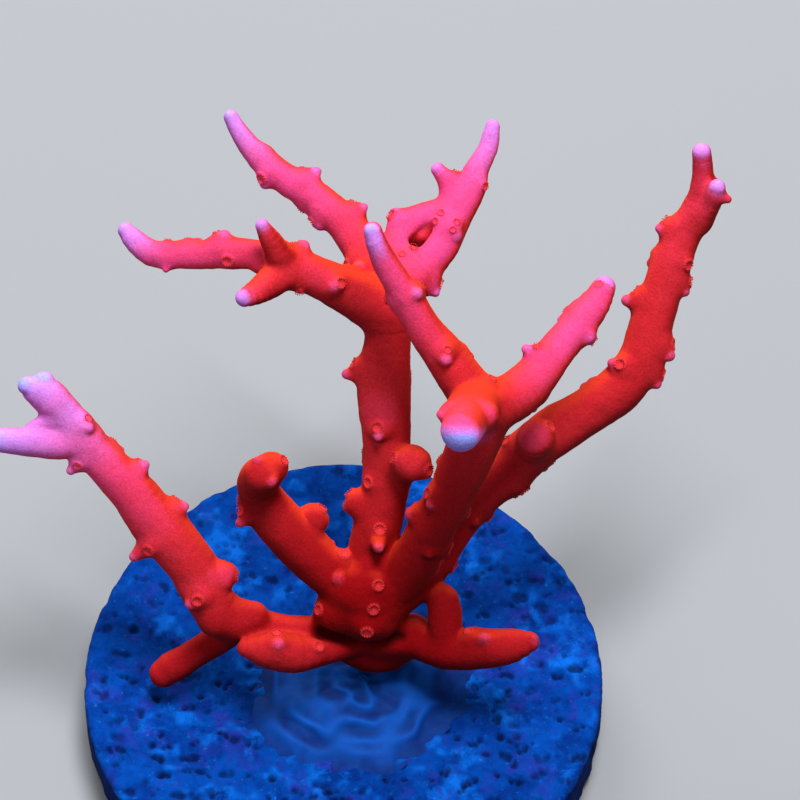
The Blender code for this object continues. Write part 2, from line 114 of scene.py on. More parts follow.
BRANCHES = {
    "trunk": Branch(
        Slot.RED,
        stems=(
            ((2.4, 1.0, 4.9, 1.45), (2.2, 0.9, 6.4, 1.4), (2.0, 1.0, 8.0, 1.55),
             (1.6, 1.1, 9.7, 1.95), (1.2, 1.7, 11.0, 2.1)),
            ((1.2, 1.2, 9.9, 1.8), (0.2, 1.1, 9.9, 1.62), (-0.45, 0.9, 9.5, 1.25)),
            ((0.1, 0.3, 7.0, 0.95), (1.9, 0.2, 6.6, 1.3), (3.9, 0.8, 7.3, 1.25)),
            ((1.6, 0.9, 10.2, 1.5), (1.5, 0.2, 10.3, 1.25)),
        ),
        lumps=((-0.3, 1.3, 12.7),),
        rings=((-1.8, 0.3, 10.9), (2.0, 0.8, 12.7), (1.8, -0.3, 11.9), (1.4, -1.2, 10.8),
               (-0.3, 2.5, 12.3)),
        grooves=((((-1.4, -0.1, 9.3), (-0.4, -0.5, 9.3), (0.6, -0.8, 9.1), (1.6, -0.85, 9.0),
                   (2.6, -0.7, 8.95), (3.2, -0.35, 9.05)), 0.36, 0.55),),
        pink=((0.0,),), far=False,
    ),
    "middle_stem": Branch(
        Slot.RED,
        stems=(
            ((1.4, 1.9, 11.0, 1.6), (1.7, 3.4, 12.6, 1.38), (2.1, 4.7, 14.0, 1.36),
             (2.5, 6.2, 15.6, 1.33), (2.5, 7.6, 17.3, 1.37), (2.35, 9.1, 19.1, 1.5),
             (2.4, 10.4, 20.7, 1.44), (2.6, 11.4, 21.9, 1.3), (2.6, 12.4, 23.0, 1.5)),
            ((2.8, 6.6, 15.2, 0.9), (3.5, 6.1, 17.0, 1.0), (3.9, 5.6, 18.1, 0.98)),
            ((2.0, 4.9, 14.2, 1.1), (1.1, 5.0, 14.5, 0.8)),
        ),
        lumps=((0.1, 5.0, 14.4), (0.1, 10.1, 20.3), (2.0, 6.6, 19.0), (2.1, 2.1, 14.5),
               (4.9, 4.9, 17.8)),
        rings=((0.7, 5.3, 14.8), (0.6, 10.3, 20.7), (2.1, 7.2, 18.9), (1.6, 5.5, 16.2),
               (2.1, 3.3, 14.5), (3.0, 5.6, 18.5), (4.8, 5.0, 18.2)),
        pink=((0.0, 0.15, 0.35, 0.1), (0.1, 0.3), (0.05, 0.15)),
    ),
    "left_stub": Branch(
        Slot.RED,
        stems=(
            ((0.6, 1.7, 10.9, 1.45), (-1.3, 2.7, 12.1, 1.36), (-2.8, 3.6, 13.4, 1.36),
             (-4.1, 4.5, 14.8, 1.3), (-4.75, 5.0, 16.2, 1.22), (-4.65, 4.9, 17.4, 1.18),
             (-4.45, 4.5, 18.5, 1.05)),
            ((-4.4, 4.8, 17.8, 0.9), (-4.0, 5.1, 18.3, 0.8)),
            ((-2.5, 3.7, 13.2, 1.1), (-1.75, 4.4, 13.7, 0.85)),
        ),
        lumps=((-4.7, 4.9, 19.6), (-3.8, 3.6, 19.0), (-5.9, 3.5, 14.9), (-0.9, 4.5, 13.9)),
        rings=((-3.5, 5.0, 18.9), (-5.6, 3.9, 15.2, 0.8), (-1.5, 4.6, 14.0)),
        grooves=((((-5.7, 4.1, 16.1), (-4.7, 3.6, 16.3), (-3.7, 4.0, 16.7)), 0.6, 0.12),),
        pink=((0.0, 0.1, 0.15),),
    ),
    "front_stem": Branch(
        Slot.RED,
        stems=(
            ((2.4, 1.5, 10.8, 1.5), (3.3, 1.9, 11.8, 1.36), (4.3, 2.4, 13.6, 1.3),
             (5.2, 3.0, 15.7, 1.29), (6.2, 3.7, 17.9, 1.29), (7.0, 4.5, 20.0, 1.4),
             (7.7, 5.3, 22.0, 1.5), (8.0, 5.8, 23.1, 1.55)),
        ),
        lumps=((4.8, 2.7, 18.1), (3.7, 3.3, 16.3), (4.9, 1.2, 15.1)),
        rings=((4.9, 3.3, 18.3), (6.2, 2.2, 14.3), (3.9, 3.6, 16.3)),
        pink=((0.0, 0.05, 0.1, 0.25),),
    ),
    "right_branch": Branch(
        Slot.RED,
        stems=(
            ((2.4, 1.4, 10.2, 1.48), (3.6, 2.2, 10.4, 1.36), (4.8, 3.3, 11.1, 1.28),
             (5.9, 4.5, 12.0, 1.25), (6.9, 5.6, 13.0, 1.25), (8.2, 6.5, 13.95, 1.26),
             (9.6, 7.2, 14.9, 1.31), (10.8, 7.9, 16.0, 1.38), (11.9, 8.4, 16.8, 1.42),
             (13.2, 9.0, 17.4, 1.36), (14.5, 9.5, 18.1, 1.34), (15.75, 10.2, 18.8, 1.36),
             (16.8, 11.3, 19.8, 1.27), (17.7, 13.6, 21.6, 1.17), (18.6, 15.7, 23.4, 1.1),
             (19.3, 16.9, 24.6, 1.03), (19.9, 17.6, 25.5, 0.92), (20.2, 18.2, 26.7, 0.68),
             (20.2, 18.8, 27.8, 0.58), (20.1, 19.25, 28.8, 0.56)),
            ((10.8, 7.7, 15.9, 1.1), (10.9, 7.2, 17.7, 1.07), (10.9, 7.0, 18.5, 1.0)),
            ((20.0, 17.2, 25.2, 0.85), (20.6, 17.4, 26.5, 0.62), (20.95, 17.6, 27.8, 0.45)),
        ),
        lumps=((15.1, 10.8, 20.5), (15.9, 14.1, 21.9), (17.7, 17.0, 24.8), (19.5, 14.2, 22.4),
               (18.6, 11.2, 20.4), (17.9, 10.0, 19.2), (21.75, 17.2, 27.1), (7.6, 4.3, 13.6)),
        rings=((10.5, 6.0, 14.2), (6.6, 2.9, 10.9), (11.7, 7.2, 19.3), (9.4, 8.0, 16.6),
               (15.7, 10.6, 20.4), (16.4, 14.3, 22.1), (18.1, 17.2, 24.9), (19.4, 15.1, 23.9),
               (19.6, 14.6, 22.7), (18.4, 11.8, 20.6), (18.0, 10.5, 19.4)),
        pink=((0.0, 0.1, 0.25, 0.2, 0.3, 0.35), (0.2, 0.45), (0.3, 0.5)),
        tips=((1.5, 0.7), (0.0, 0.0), (1.1, 0.75)),
    ),
    "crown_left_branch": Branch(
        Slot.PINK,
        stems=(
            ((2.4, 12.4, 23.0, 1.4), (1.0, 12.7, 24.1, 1.34), (-0.2, 12.8, 25.0, 1.23),
             (-1.5, 12.95, 25.8, 1.17), (-2.6, 13.1, 26.3, 1.1), (-3.5, 13.4, 26.6, 0.92),
             (-4.6, 13.8, 26.6, 0.79), (-5.7, 14.0, 26.5, 0.82), (-6.7, 14.15, 26.3, 0.88),
             (-7.8, 14.15, 26.1, 0.81), (-10.0, 14.4, 25.7, 0.74), (-11.0, 14.85, 25.8, 0.67),
             (-11.7, 15.35, 26.1, 0.59), (-12.05, 15.7, 26.3, 0.46)),
            ((-3.0, 12.8, 26.4, 0.8), (-3.5, 13.1, 27.8, 0.66), (-4.0, 13.45, 28.9, 0.52),
             (-4.3, 13.7, 29.5, 0.38)),
            ((-2.95, 12.7, 26.4, 0.85), (-3.9, 11.9, 26.6, 0.86), (-4.7, 11.1, 26.8, 0.7),
             (-5.3, 10.6, 27.0, 0.5)),
        ),
        lumps=((-2.0, 14.2, 27.2), (-0.3, 11.8, 26.3), (-6.5, 14.9, 27.3), (-9.8, 13.3, 25.6)),
        rings=((-2.3, 14.2, 27.1), (-3.0, 13.8, 27.6), (-0.3, 12.1, 26.1), (-6.3, 13.3, 26.8),
               (-2.3, 11.9, 25.9, 0.8), (-6.8, 14.8, 27.0, 0.7), (-9.7, 14.9, 26.2, 0.6)),
        pink=((0.2, 0.35, 0.6, 1.0), (0.15, 0.35), (0.25, 0.4)),
        tips=((4.0, 0.75), (1.3, 0.6), (1.3, 0.7)),
    ),
    "crown_back_left_branch": Branch(
        Slot.PINK,
        stems=(
            ((2.4, 13.6, 23.3, 1.4), (1.6, 15.6, 23.5, 1.21), (0.8, 17.1, 23.7, 1.1),
             (-0.35, 18.4, 24.1, 0.99), (-1.6, 19.4, 24.4, 0.91), (-3.0, 20.2, 24.75, 0.85),
             (-4.2, 21.1, 25.2, 0.76), (-5.3, 22.0, 25.8, 0.59), (-5.9, 22.65, 26.4, 0.48),
             (-6.3, 23.2, 26.9, 0.4)),
        ),
        lumps=((-1.4, 20.7, 25.3), (1.35, 18.7, 24.6), (0.8, 14.5, 24.5), (-4.5, 19.9, 24.7),
               (-1.4, 17.7, 23.8)),
        rings=((-1.9, 20.6, 25.2), (1.0, 18.6, 24.5), (-4.4, 20.2, 25.1), (-1.5, 18.1, 23.9),
               (0.5, 15.2, 23.7)),
        pink=((0.1, 0.5, 0.9, 1.0),), tips=((5.2, 0.75),),
    ),
    "crown_back_right_branch": Branch(
        Slot.PINK,
        stems=(
            ((2.7, 13.2, 23.0, 1.5), (3.5, 14.6, 23.0, 1.48), (4.5, 15.7, 23.05, 1.3),
             (5.6, 16.9, 23.4, 1.13), (6.3, 18.4, 24.0, 1.07), (7.1, 19.7, 24.6, 0.96),
             (7.7, 20.8, 25.3, 0.71), (8.2, 21.65, 25.8, 0.62), (8.4, 22.3, 26.3, 0.52),
             (8.5, 22.7, 26.6, 0.41)),
            ((3.2, 15.2, 23.2, 1.13), (3.3, 16.9, 23.6, 1.02), (3.8, 17.9, 23.9, 0.85),
             (5.0, 18.4, 24.0, 0.8), (6.2, 18.8, 24.2, 0.79)),
            ((6.4, 19.3, 24.5, 0.79), (5.9, 20.0, 25.2, 0.55), (5.4, 20.4, 25.7, 0.42)),
        ),
        lumps=((5.4, 14.1, 22.4), (6.5, 16.75, 24.3), (2.9, 18.5, 24.4)),
        rings=((2.9, 18.2, 24.4), (6.4, 20.3, 25.4, 0.8), (8.0, 19.6, 25.2, 0.8),
               (5.6, 17.9, 24.9, 0.6), (5.3, 17.5, 24.7, 0.6), (6.4, 17.3, 24.8, 0.6),
               (6.25, 16.9, 24.7, 0.6), (3.4, 15.3, 24.5, 0.6), (4.0, 15.85, 24.4, 0.75),
               (5.2, 14.7, 22.6)),
        grooves=((((5.4, 17.5, 24.7, 0.1), (4.7, 17.05, 24.3, 0.7), (4.2, 16.45, 24.35, 1.0)),
                  0.4, 0.18),
                 (((4.88, 17.37, 24.35, 0.3), (4.48, 16.92, 24.3, 0.9), (4.16, 16.5, 24.35, 1.0)),
                  0.24, 0.5)),
        pink=((0.4, 0.9, 0.95, 1.0), (0.8, 1.0), (1.0,)),
        tips=((6.0, 0.6), (0.0, 0.0), (1.6, 0.5)),
    ),
    "front_stub": Branch(
        Slot.TIP,
        stems=(
            ((7.7, 6.0, 23.2, 1.45), (7.3, 4.9, 24.5, 1.38), (6.9, 3.2, 26.0, 1.24),
             (6.6, 1.6, 27.2, 1.12)),
            ((7.3, 4.4, 25.0, 1.0), (7.85, 3.5, 26.0, 0.8)),
            ((6.9, 4.4, 25.0, 1.0), (6.2, 3.5, 26.1, 0.72)),
        ),
        lumps=((5.3, 3.2, 26.5),),
        pink=((0.15, 0.25, 0.6, 1.0), (0.2, 0.8), (0.2, 0.8)), tips=((1.1, 1.05), (0.0, 0.0)),
        pale_way=(0.0, -0.83, -0.56), far=False,
    ),
    "front_left_branch": Branch(
        Slot.PINK,
        stems=(
            ((7.7, 6.1, 23.3, 1.38), (6.5, 7.1, 24.5, 1.22), (5.6, 8.0, 25.5, 1.1),
             (4.6, 8.8, 26.6, 1.0), (3.8, 9.6, 27.8, 0.93), (3.05, 10.4, 28.9, 0.83),
             (2.4, 11.1, 29.9, 0.72), (1.95, 11.65, 30.9, 0.62), (1.8, 12.0, 31.4, 0.55)),
        ),
        lumps=((5.8, 6.8, 26.4), (4.3, 9.5, 29.0)),
        rings=((5.8, 7.4, 26.4, 0.7), (4.4, 10.2, 28.6, 0.8)),
        pink=((0.15, 0.35, 0.6, 0.9),), tips=((3.2, 0.8),), pale_side=(-0.25, -0.65, 0.7),
    ),
    "front_right_branch": Branch(
        Slot.PINK,
        stems=(
            ((8.2, 5.9, 23.1, 1.5), (9.6, 6.7, 23.1, 1.38), (10.9, 8.0, 23.4, 1.2),
             (11.9, 9.3, 23.65, 1.09), (12.9, 10.5, 23.9, 1.03), (13.8, 11.7, 24.1, 0.92),
             (14.4, 12.6, 24.2, 0.73), (14.7, 13.2, 24.35, 0.59)),
        ),
        lumps=((10.2, 8.9, 24.7), (13.9, 9.9, 24.0)),
        rings=((8.2, 6.6, 24.6, 0.8), (10.8, 8.8, 24.5, 0.8), (14.4, 12.9, 24.9, 0.7),
               (13.8, 10.2, 23.7, 0.9)),
        pink=((0.15, 0.6, 0.9, 0.8),), tips=((1.6, 0.75),),
    ),
    "left_runner": Branch(
        Slot.RED,
        stems=(
            ((0.6, 0.4, 8.5, 1.0), (-1.4, 0.4, 8.3, 0.95), (-3.0, 0.4, 8.4, 0.92),
             (-4.6, 0.5, 8.8, 0.98), (-5.6, 0.5, 9.2, 1.0)),
        ),
        pink=((0.12,),), far=False,
    ),
    "left_branch": Branch(
        Slot.PINK,
        stems=(
            ((-6.3, 0.6, 9.3, 1.12), (-7.6, 1.3, 10.6, 1.36), (-8.6, 2.6, 12.2, 1.42),
             (-9.8, 3.6, 13.4, 1.47), (-10.9, 4.5, 14.5, 1.4), (-11.8, 5.2, 15.5, 1.27),
             (-12.75, 5.9, 16.4, 1.19), (-13.7, 6.6, 17.2, 1.13), (-14.5, 7.2, 18.0, 1.09),
             (-15.4, 8.0, 19.0, 1.02), (-16.2, 8.6, 19.8, 1.0), (-16.7, 9.0, 20.4, 0.82),
             (-16.7, 9.25, 20.7, 0.62)),
            ((-6.1, 0.6, 9.5, 1.1), (-7.2, 0.3, 10.0, 1.02)),
            ((-6.2, 0.6, 9.5, 0.95), (-5.5, 0.6, 9.7, 0.9), (-5.05, 0.6, 9.8, 0.85)),
            ((-7.9, 1.9, 11.4, 1.25), (-7.1, 2.1, 11.7, 0.86)),
            ((-16.3, 8.6, 19.9, 0.84), (-17.2, 8.85, 20.4, 0.68), (-17.6, 8.95, 20.8, 0.5)),
        ),
        lumps=((-14.1, 7.0, 19.5), (-15.4, 5.7, 16.9), (-11.0, 6.4, 16.8), (-8.8, 5.0, 14.7),
               (-11.9, 2.5, 12.9), (-8.7, 0.2, 11.5), (-6.2, 2.3, 11.9)),
        rings=((-16.4, 7.8, 19.0, 0.7), (-14.4, 7.5, 19.3, 0.8), (-15.0, 5.8, 17.2, 0.8),
               (-11.4, 6.4, 16.5), (-9.3, 5.1, 14.7), (-10.8, 2.7, 13.8), (-6.4, 2.1, 11.7),
               (-8.2, 0.4, 11.8)),
        pink=((0.1, 0.3, 0.65, 1.0), (0.1,), (0.1,), (0.5,), (1.0,)),
        tips=((9.0, 0.95), (0.0, 0.0), (0.0, 0.0), (0.0, 0.0), (2.6, 0.9)),
    ),
    "left_outer_tip": Branch(
        Slot.TIP,
        stems=(
            ((-14.5, 7.2, 18.0, 1.05), (-15.8, 6.85, 18.1, 0.9), (-17.1, 6.7, 18.4, 0.87),
             (-18.4, 6.55, 18.8, 0.81), (-19.6, 6.5, 19.1, 0.67), (-20.4, 6.55, 19.4, 0.5)),
        ),
        lumps=((-17.3, 7.5, 19.3),),
        pink=((1.0,),), tips=((9.5, 1.0),),
    ),
    "front_finger": Branch(
        Slot.RED,
        stems=(
            ((0.6, 0.0, 8.1, 0.95), (-0.4, -0.4, 8.1, 0.92), (-1.4, -0.9, 8.3, 0.92),
             (-2.3, -1.2, 8.6, 1.08), (-3.3, -1.3, 8.9, 1.17), (-4.5, -1.3, 9.2, 0.94),
             (-5.4, -1.25, 9.3, 0.56)),
        ),
        lumps=((-3.6, -1.6, 10.4),),
        rings=((-3.7, -1.0, 10.1), (-1.4, -1.2, 9.3)),
        pink=((0.0, 0.15, 0.2),), far=False,
    ),
    "low_left_finger": Branch(
        Slot.RED,
        stems=(
            ((-6.2, 0.5, 8.7, 0.88), (-7.0, 0.3, 7.9, 0.83), (-7.9, 0.1, 7.2, 0.82),
             (-8.9, -0.2, 6.5, 0.86), (-9.8, -0.5, 5.95, 0.92), (-10.3, -0.7, 5.6, 0.83)),
        ),
        pink=((0.0, 0.1),), far=False,
    ),
    "right_finger": Branch(
        Slot.RED,
        stems=(
            ((2.2, 0.5, 7.8, 1.4), (4.1, 0.2, 8.0, 1.2), (5.0, -0.3, 7.95, 1.05),
             (5.9, -0.75, 8.1, 1.03), (7.1, -0.9, 8.5, 1.14), (8.4, -1.05, 9.0, 1.11),
             (9.6, -1.05, 9.3, 0.97), (10.6, -1.0, 9.6, 0.62)),
        ),
        lumps=((8.0, -1.2, 10.4),),
        rings=((7.3, -0.6, 9.7, 0.8),),
        pink=((0.0, 0.0, 0.05, 0.12),), tips=((0.9, 0.2),), far=False,
    ),
    "right_finger_stub": Branch(
        Slot.RED,
        stems=(
            ((5.9, -0.6, 8.2, 0.97), (5.8, 0.1, 9.1, 0.97), (5.75, 0.8, 9.85, 0.97),
             (5.7, 1.3, 10.4, 0.9)),
        ),
        pink=((0.0, 0.05),), far=False,
    ),
}


def linear(colour: str) -> tuple:
    """Turn an sRGB hex colour into linear RGBA.

    Args:
        colour: Six hex digits after a hash.

    Returns:
        Red, green, blue and alpha.
    """
    channels = [int(colour[i:i + 2], 16) / 255.0 for i in (1, 3, 5)]
    return (*(c / 12.92 if c <= 0.04045 else ((c + 0.055) / 1.055) ** 2.4 for c in channels), 1.0)


def add_node(tree: bpy.types.NodeTree, kind: str, inputs: dict | None = None,
             **settings: object) -> bpy.types.Node:
    """Add a node to a tree, with its settings, values and links.

    Args:
        tree: The node tree.
        kind: The node's type.
        inputs: For an input's name or number, a value, the output socket that feeds it,
            or a node, which stands for the first of its outputs that is in use.
        settings: The node's own properties.

    Returns:
        The new node.
    """
    node = tree.nodes.new(kind)
    for name, value in settings.items():
        setattr(node, name, value)
    for name, value in (inputs or {}).items():
        if isinstance(value, bpy.types.Node):
            value = next(socket for socket in value.outputs if socket.enabled)
        if isinstance(value, bpy.types.NodeSocket):
            tree.links.new(value, node.inputs[name])
        else:
            node.inputs[name].default_value = value
    return node


def new_material(name: str) -> tuple[bpy.types.Material, Callable[..., bpy.types.Node]]:
    """Start a material without nodes, and give what adds a node to it."""
    material = bpy.data.materials.new(name)
    material.use_nodes = True
    material.node_tree.nodes.clear()
    return material, partial(add_node, material.node_tree)


def value_noise(points: np.ndarray, cell: float, seed: int) -> np.ndarray:
    """Smooth noise from -1 to 1 at points, with one random value in each cell's corner.

    Args:
        points: Places, one row each.
        cell: Cell size, in the unit of the points.
        seed: Number of the pattern.

    Returns:
        One value for each point.
    """
    scaled = points / cell
    low = np.floor(scaled).astype(np.int64)
    part = scaled - low
    part = part * part * (3.0 - 2.0 * part)
    total = np.zeros(len(points))
    for corner in range(8):
        step = np.array((corner & 1, corner >> 1 & 1, corner >> 2 & 1))
        mixed = np.bitwise_xor.reduce((low + step) * HASH_AXES, axis=1) ^ seed * HASH_SEED
        mixed = (mixed ^ mixed >> 13) * HASH_MIX
        value = ((mixed ^ mixed >> 16) & 0xFFFF) / 32767.5 - 1.0
        share = np.where(step == 1, part, 1.0 - part).prod(axis=1)
        total += value * share
    return total


def layered_noise(points: np.ndarray, layers: tuple) -> np.ndarray:
    """Add up layers of noise, each given as (strength, cell, seed)."""
    return sum(strength * value_noise(points, cell, seed) for strength, cell, seed in layers)


def smoothstep(low: float, high: float, values: np.ndarray) -> np.ndarray:
    """Rise smoothly from 0 at low to 1 at high, or fall where high is the lower."""
    share = np.clip((values - low) / (high - low), 0.0, 1.0)
    return share * share * (3.0 - 2.0 * share)


def smooth_path(points: tuple, spacing: float) -> np.ndarray:
    """Lay a Catmull-Rom curve through a stem's points.

    Args:
        points: The stem's (x, y, z, radius).
        spacing: Distance between the places on the curve.

    Returns:
        One (x, y, z, radius) row for each place.
    """
    rows = np.array(points, float)
    padded = np.vstack((2.0 * rows[0] - rows[1], rows, 2.0 * rows[-1] - rows[-2]))
    path = []
    for a, b, c, d in zip(padded, padded[1:], padded[2:], padded[3:]):
        steps = max(1, round(float(np.linalg.norm(c[:3] - b[:3])) / spacing))
        for t in np.arange(steps) / steps:
            path.append(0.5 * (2.0 * b + (c - a) * t + (2.0 * a - 5.0 * b + 4.0 * c - d) * t ** 2
                               + (3.0 * b - a - 3.0 * c + d) * t ** 3))
    path.append(rows[-1])
    return np.array(path)


def unit(vectors: np.ndarray) -> np.ndarray:
    """Scale vectors to length one."""
    return vectors / np.maximum(np.linalg.norm(vectors, axis=-1, keepdims=True), 1e-9)


def mesh_object(name: str, verts: np.ndarray, faces: list, scale: float = MM) -> bpy.types.Object:
    """Make a mesh object from arrays.

    Args:
        name: The object's name.
        verts: Places, one row each.
        faces: Vertex numbers of each face.
        scale: What turns the places into metres.

    Returns:
        The object, linked to the scene.
    """
    mesh = bpy.data.meshes.new(name)
    mesh.from_pydata((np.asarray(verts) * scale).tolist(), [], faces)
    mesh.update()
    obj = bpy.data.objects.new(name, mesh)
    bpy.context.scene.collection.objects.link(obj)
    return obj


def bake_modifiers(obj: bpy.types.Object) -> None:
    """Turn what the object's modifiers make into its plain mesh, and remove them."""
    graph = bpy.context.evaluated_depsgraph_get()
    made = bpy.data.meshes.new_from_object(obj.evaluated_get(graph))
    old = obj.data
    obj.modifiers.clear()
    obj.data = made
    bpy.data.meshes.remove(old)


def drop(obj: bpy.types.Object) -> None:
    """Remove a helper object and its mesh."""
    mesh = obj.data
    bpy.data.objects.remove(obj)
    bpy.data.meshes.remove(mesh)


def store(mesh: bpy.types.Mesh, name: str, rows: np.ndarray) -> None:
    """Keep a vector for each vertex in a named attribute of the mesh."""
    layer = mesh.attributes.new(name, "FLOAT_VECTOR", "POINT")
    layer.data.foreach_set("vector", np.ascontiguousarray(rows, np.float32).ravel())


def ring_quads(first: int, rings: int, sides: int) -> list:
    """List the quads between neighbouring rings of vertices.

    Args:
        first: Number of the first ring's first vertex.
        rings: How many rings follow each other.
        sides: How many vertices each ring has.

    Returns:
        Four vertex numbers for each quad.
    """
    quads = []
    for a in range(first, first + (rings - 1) * sides, sides):
        for i in range(sides):
            j = (i + 1) % sides
            quads.append((a + i, a + j, a + sides + j, a + sides + i))
    return quads


def fourth(row: tuple) -> float:
    """Give a row's fourth number, or 1 where it has only three."""
    return row[3] if len(row) > 3 else 1.0


@dataclass(frozen=True)
class CoralTissue:
    """Living coral skin: thin fluorescent flesh over a fine chalky skeleton.

    It reads as matt velvet with tiny grains. The mature skin is a deep red with a painted
    glow, painted orange light where it faces up and back, and painted shade where it
    faces away from the light. It is painted pinker and paler on the side that faces a
    blue-violet light. Growing tips are nearly bare white skeleton under a lilac film.
    A polyp shows as a scarlet ring with a dot in it.
    """

    name: str
    # Painted shade, where the skin faces away from the light, in grooves and with the grain
    shadow: str = "#3A0307"
    red: str = "#86050C"
    scarlet: str = "#CA2832"
    # Painted orange light, on skin that faces up and back
    orange: str = "#DA3820"
    pink: str = "#DA4280"
    lilac: str = "#C47CDC"
    white: str = "#949CFA"
    # Painted shade of the pale tips
    dusk: str = "#6E2C86"
    ring: str = "#DA363C"
    glow_tint: str = "#FF5A24"
    grain_mm: float = 0.13
    mottle_mm: float = 1.3

    def build(self) -> bpy.types.Material:
        """Make the material.

        Returns:
            The material, which reads the attributes tissue and polyp.
        """
        material, add = new_material(self.name)
        place = add("ShaderNodeTexCoord").outputs["Object"]
        tissue = add("ShaderNodeAttribute", attribute_name="tissue").outputs["Vector"]
        pinkness, paleness, shade = add("ShaderNodeSeparateXYZ", {0: tissue}).outputs
        polyp = add("ShaderNodeAttribute", attribute_name="polyp").outputs["Vector"]
        right, up, out = add("ShaderNodeSeparateXYZ", {0: polyp}).outputs

        # Grains of the skin, and patches where it is a little thinner
        grain, mottle = (
            add("ShaderNodeTexNoise", {"Vector": place, "Scale": 1.0 / (size * MM),
                                       "Detail": detail, "Roughness": rough})
            for size, detail, rough in ((self.grain_mm, 3.0, 0.6), (self.mottle_mm, 2.0, 0.5)))
        grained, mottled = (
            add("ShaderNodeMapRange", {"Value": noise, "From Min": 0.3, "From Max": 0.7,
                                       "To Min": -most, "To Max": most})
            for noise, most in ((grain, 0.06), (mottle, 0.1)))
        uneven = add("ShaderNodeMath", {0: grained, 1: mottled}, operation="ADD")
        pinker = add("ShaderNodeMath", {0: uneven, 1: 1.0}, operation="ADD")
        pinker = add("ShaderNodeMath", {0: pinkness, 1: pinker}, operation="MULTIPLY",
                     use_clamp=True)
        pale_grain = add("ShaderNodeMath", {0: grained, 1: 0.5}, operation="MULTIPLY")
        paler = add("ShaderNodeMath", {0: paleness, 1: pale_grain}, operation="ADD",
                    use_clamp=True)

        # From mature red to pink, darkened by painted shade, with painted orange light over
        # it where the shade is below zero
        # low is the share of painted shade, with the grain in it
        low = add("ShaderNodeMath", {0: grained, 1: -1.0, 2: shade},
                  operation="MULTIPLY_ADD", use_clamp=True)
        # high is the share of painted orange light, where the shade is below zero
        high = add("ShaderNodeMath", {0: shade, 1: -1.0}, operation="MULTIPLY", use_clamp=True)
        base = add("ShaderNodeMix", {0: low, 6: linear(self.red), 7: linear(self.shadow)},
                   data_type="RGBA")
        for colour, start, full in ((self.scarlet, 0.0, 0.4), (self.pink, 0.3, 1.0)):
            share = add("ShaderNodeMapRange",
                        {"Value": pinker, "From Min": start, "From Max": full})
            base = add("ShaderNodeMix", {0: share, 6: base, 7: linear(colour)},
                       data_type="RGBA")
        base = add("ShaderNodeMix", {0: high, 6: base, 7: linear(self.orange)},
                   data_type="RGBA")

        # Then lilac, then the white of a growing tip, both made dusky by the painted shade
        painted_tip_shade = add("ShaderNodeMath", {0: low, 1: 0.65}, operation="MULTIPLY")
        for colour, start, full in ((self.lilac, 0.05, 0.72), (self.white, 0.62, 0.98)):
            share = add("ShaderNodeMapRange",
                        {"Value": paler, "From Min": start, "From Max": full},
                        interpolation_type="SMOOTHSTEP")
            film = add("ShaderNodeMix", {0: painted_tip_shade, 6: linear(colour), 7: linear(self.dusk)},
                       data_type="RGBA")
            base = add("ShaderNodeMix", {0: share, 6: base, 7: film}, data_type="RGBA")
        speckle = add("ShaderNodeMapRange", {"Value": grain, "From Min": 0.32,
                                             "From Max": 0.68, "To Min": 0.86, "To Max": 1.1})
        base = add("ShaderNodeMix", {0: 1.0, 6: base, 7: speckle}, data_type="RGBA",
                   blend_type="MULTIPLY")

        # The polyp: a scarlet rim with a lobe for each tentacle, and a dot in its middle.
        # Each ramp goes from one share of the rim's radius to another, up to a strength
        rise, fall, inside, dot = (
            add("ShaderNodeMapRange",
                {"Value": out, "From Min": POLYP_RADIUS * start, "From Max": POLYP_RADIUS * full,
                 "To Max": most}, interpolation_type="SMOOTHSTEP")
            for start, full, most in ((0.6, 0.92, 1.0), (1.5, 1.1, 1.0), (1.0, 0.6, 0.5),
                                      (0.45, 0.2, 0.75)))
        angle = add("ShaderNodeMath", {0: up, 1: right}, operation="ARCTAN2")
        turns = add("ShaderNodeMath", {0: angle, 1: TENTACLES}, operation="MULTIPLY")
        wave = add("ShaderNodeMath", {0: turns}, operation="COSINE")
        lobes = add("ShaderNodeMapRange", {"Value": wave, "From Min": -0.6, "From Max": 0.8,
                                           "To Min": 0.5, "To Max": 1.0})
        rim = add("ShaderNodeMath", {0: rise, 1: fall}, operation="MULTIPLY")
        crown = add("ShaderNodeMath", {0: rim, 1: lobes}, operation="MULTIPLY")
        bright = add("ShaderNodeMath", {0: crown, 1: 0.6}, operation="MULTIPLY")
        for share in (inside, bright, dot):
            base = add("ShaderNodeMix", {0: share, 6: base, 7: linear(self.ring)},
                       data_type="RGBA")

        # Relief too fine for the mesh
        height = add("ShaderNodeMath", {0: crown, 1: 1.0, 2: grain}, operation="MULTIPLY_ADD")
        bump = add("ShaderNodeBump", {"Height": height, "Strength": 0.5, "Distance": 0.07 * MM})
        # The emission is a painted glow of the skin's own colour
        shader = add("ShaderNodeBsdfPrincipled", {
            "Base Color": base, "Roughness": 0.8, "IOR": 1.4, "Specular IOR Level": 0.05,
            "Normal": bump, "Sheen Weight": 0.12, "Sheen Roughness": 0.5,
            "Sheen Tint": linear(self.glow_tint), "Emission Color": base,
            "Emission Strength": PAINTED_GLOW})
        add("ShaderNodeOutputMaterial", {0: shader})
        return material


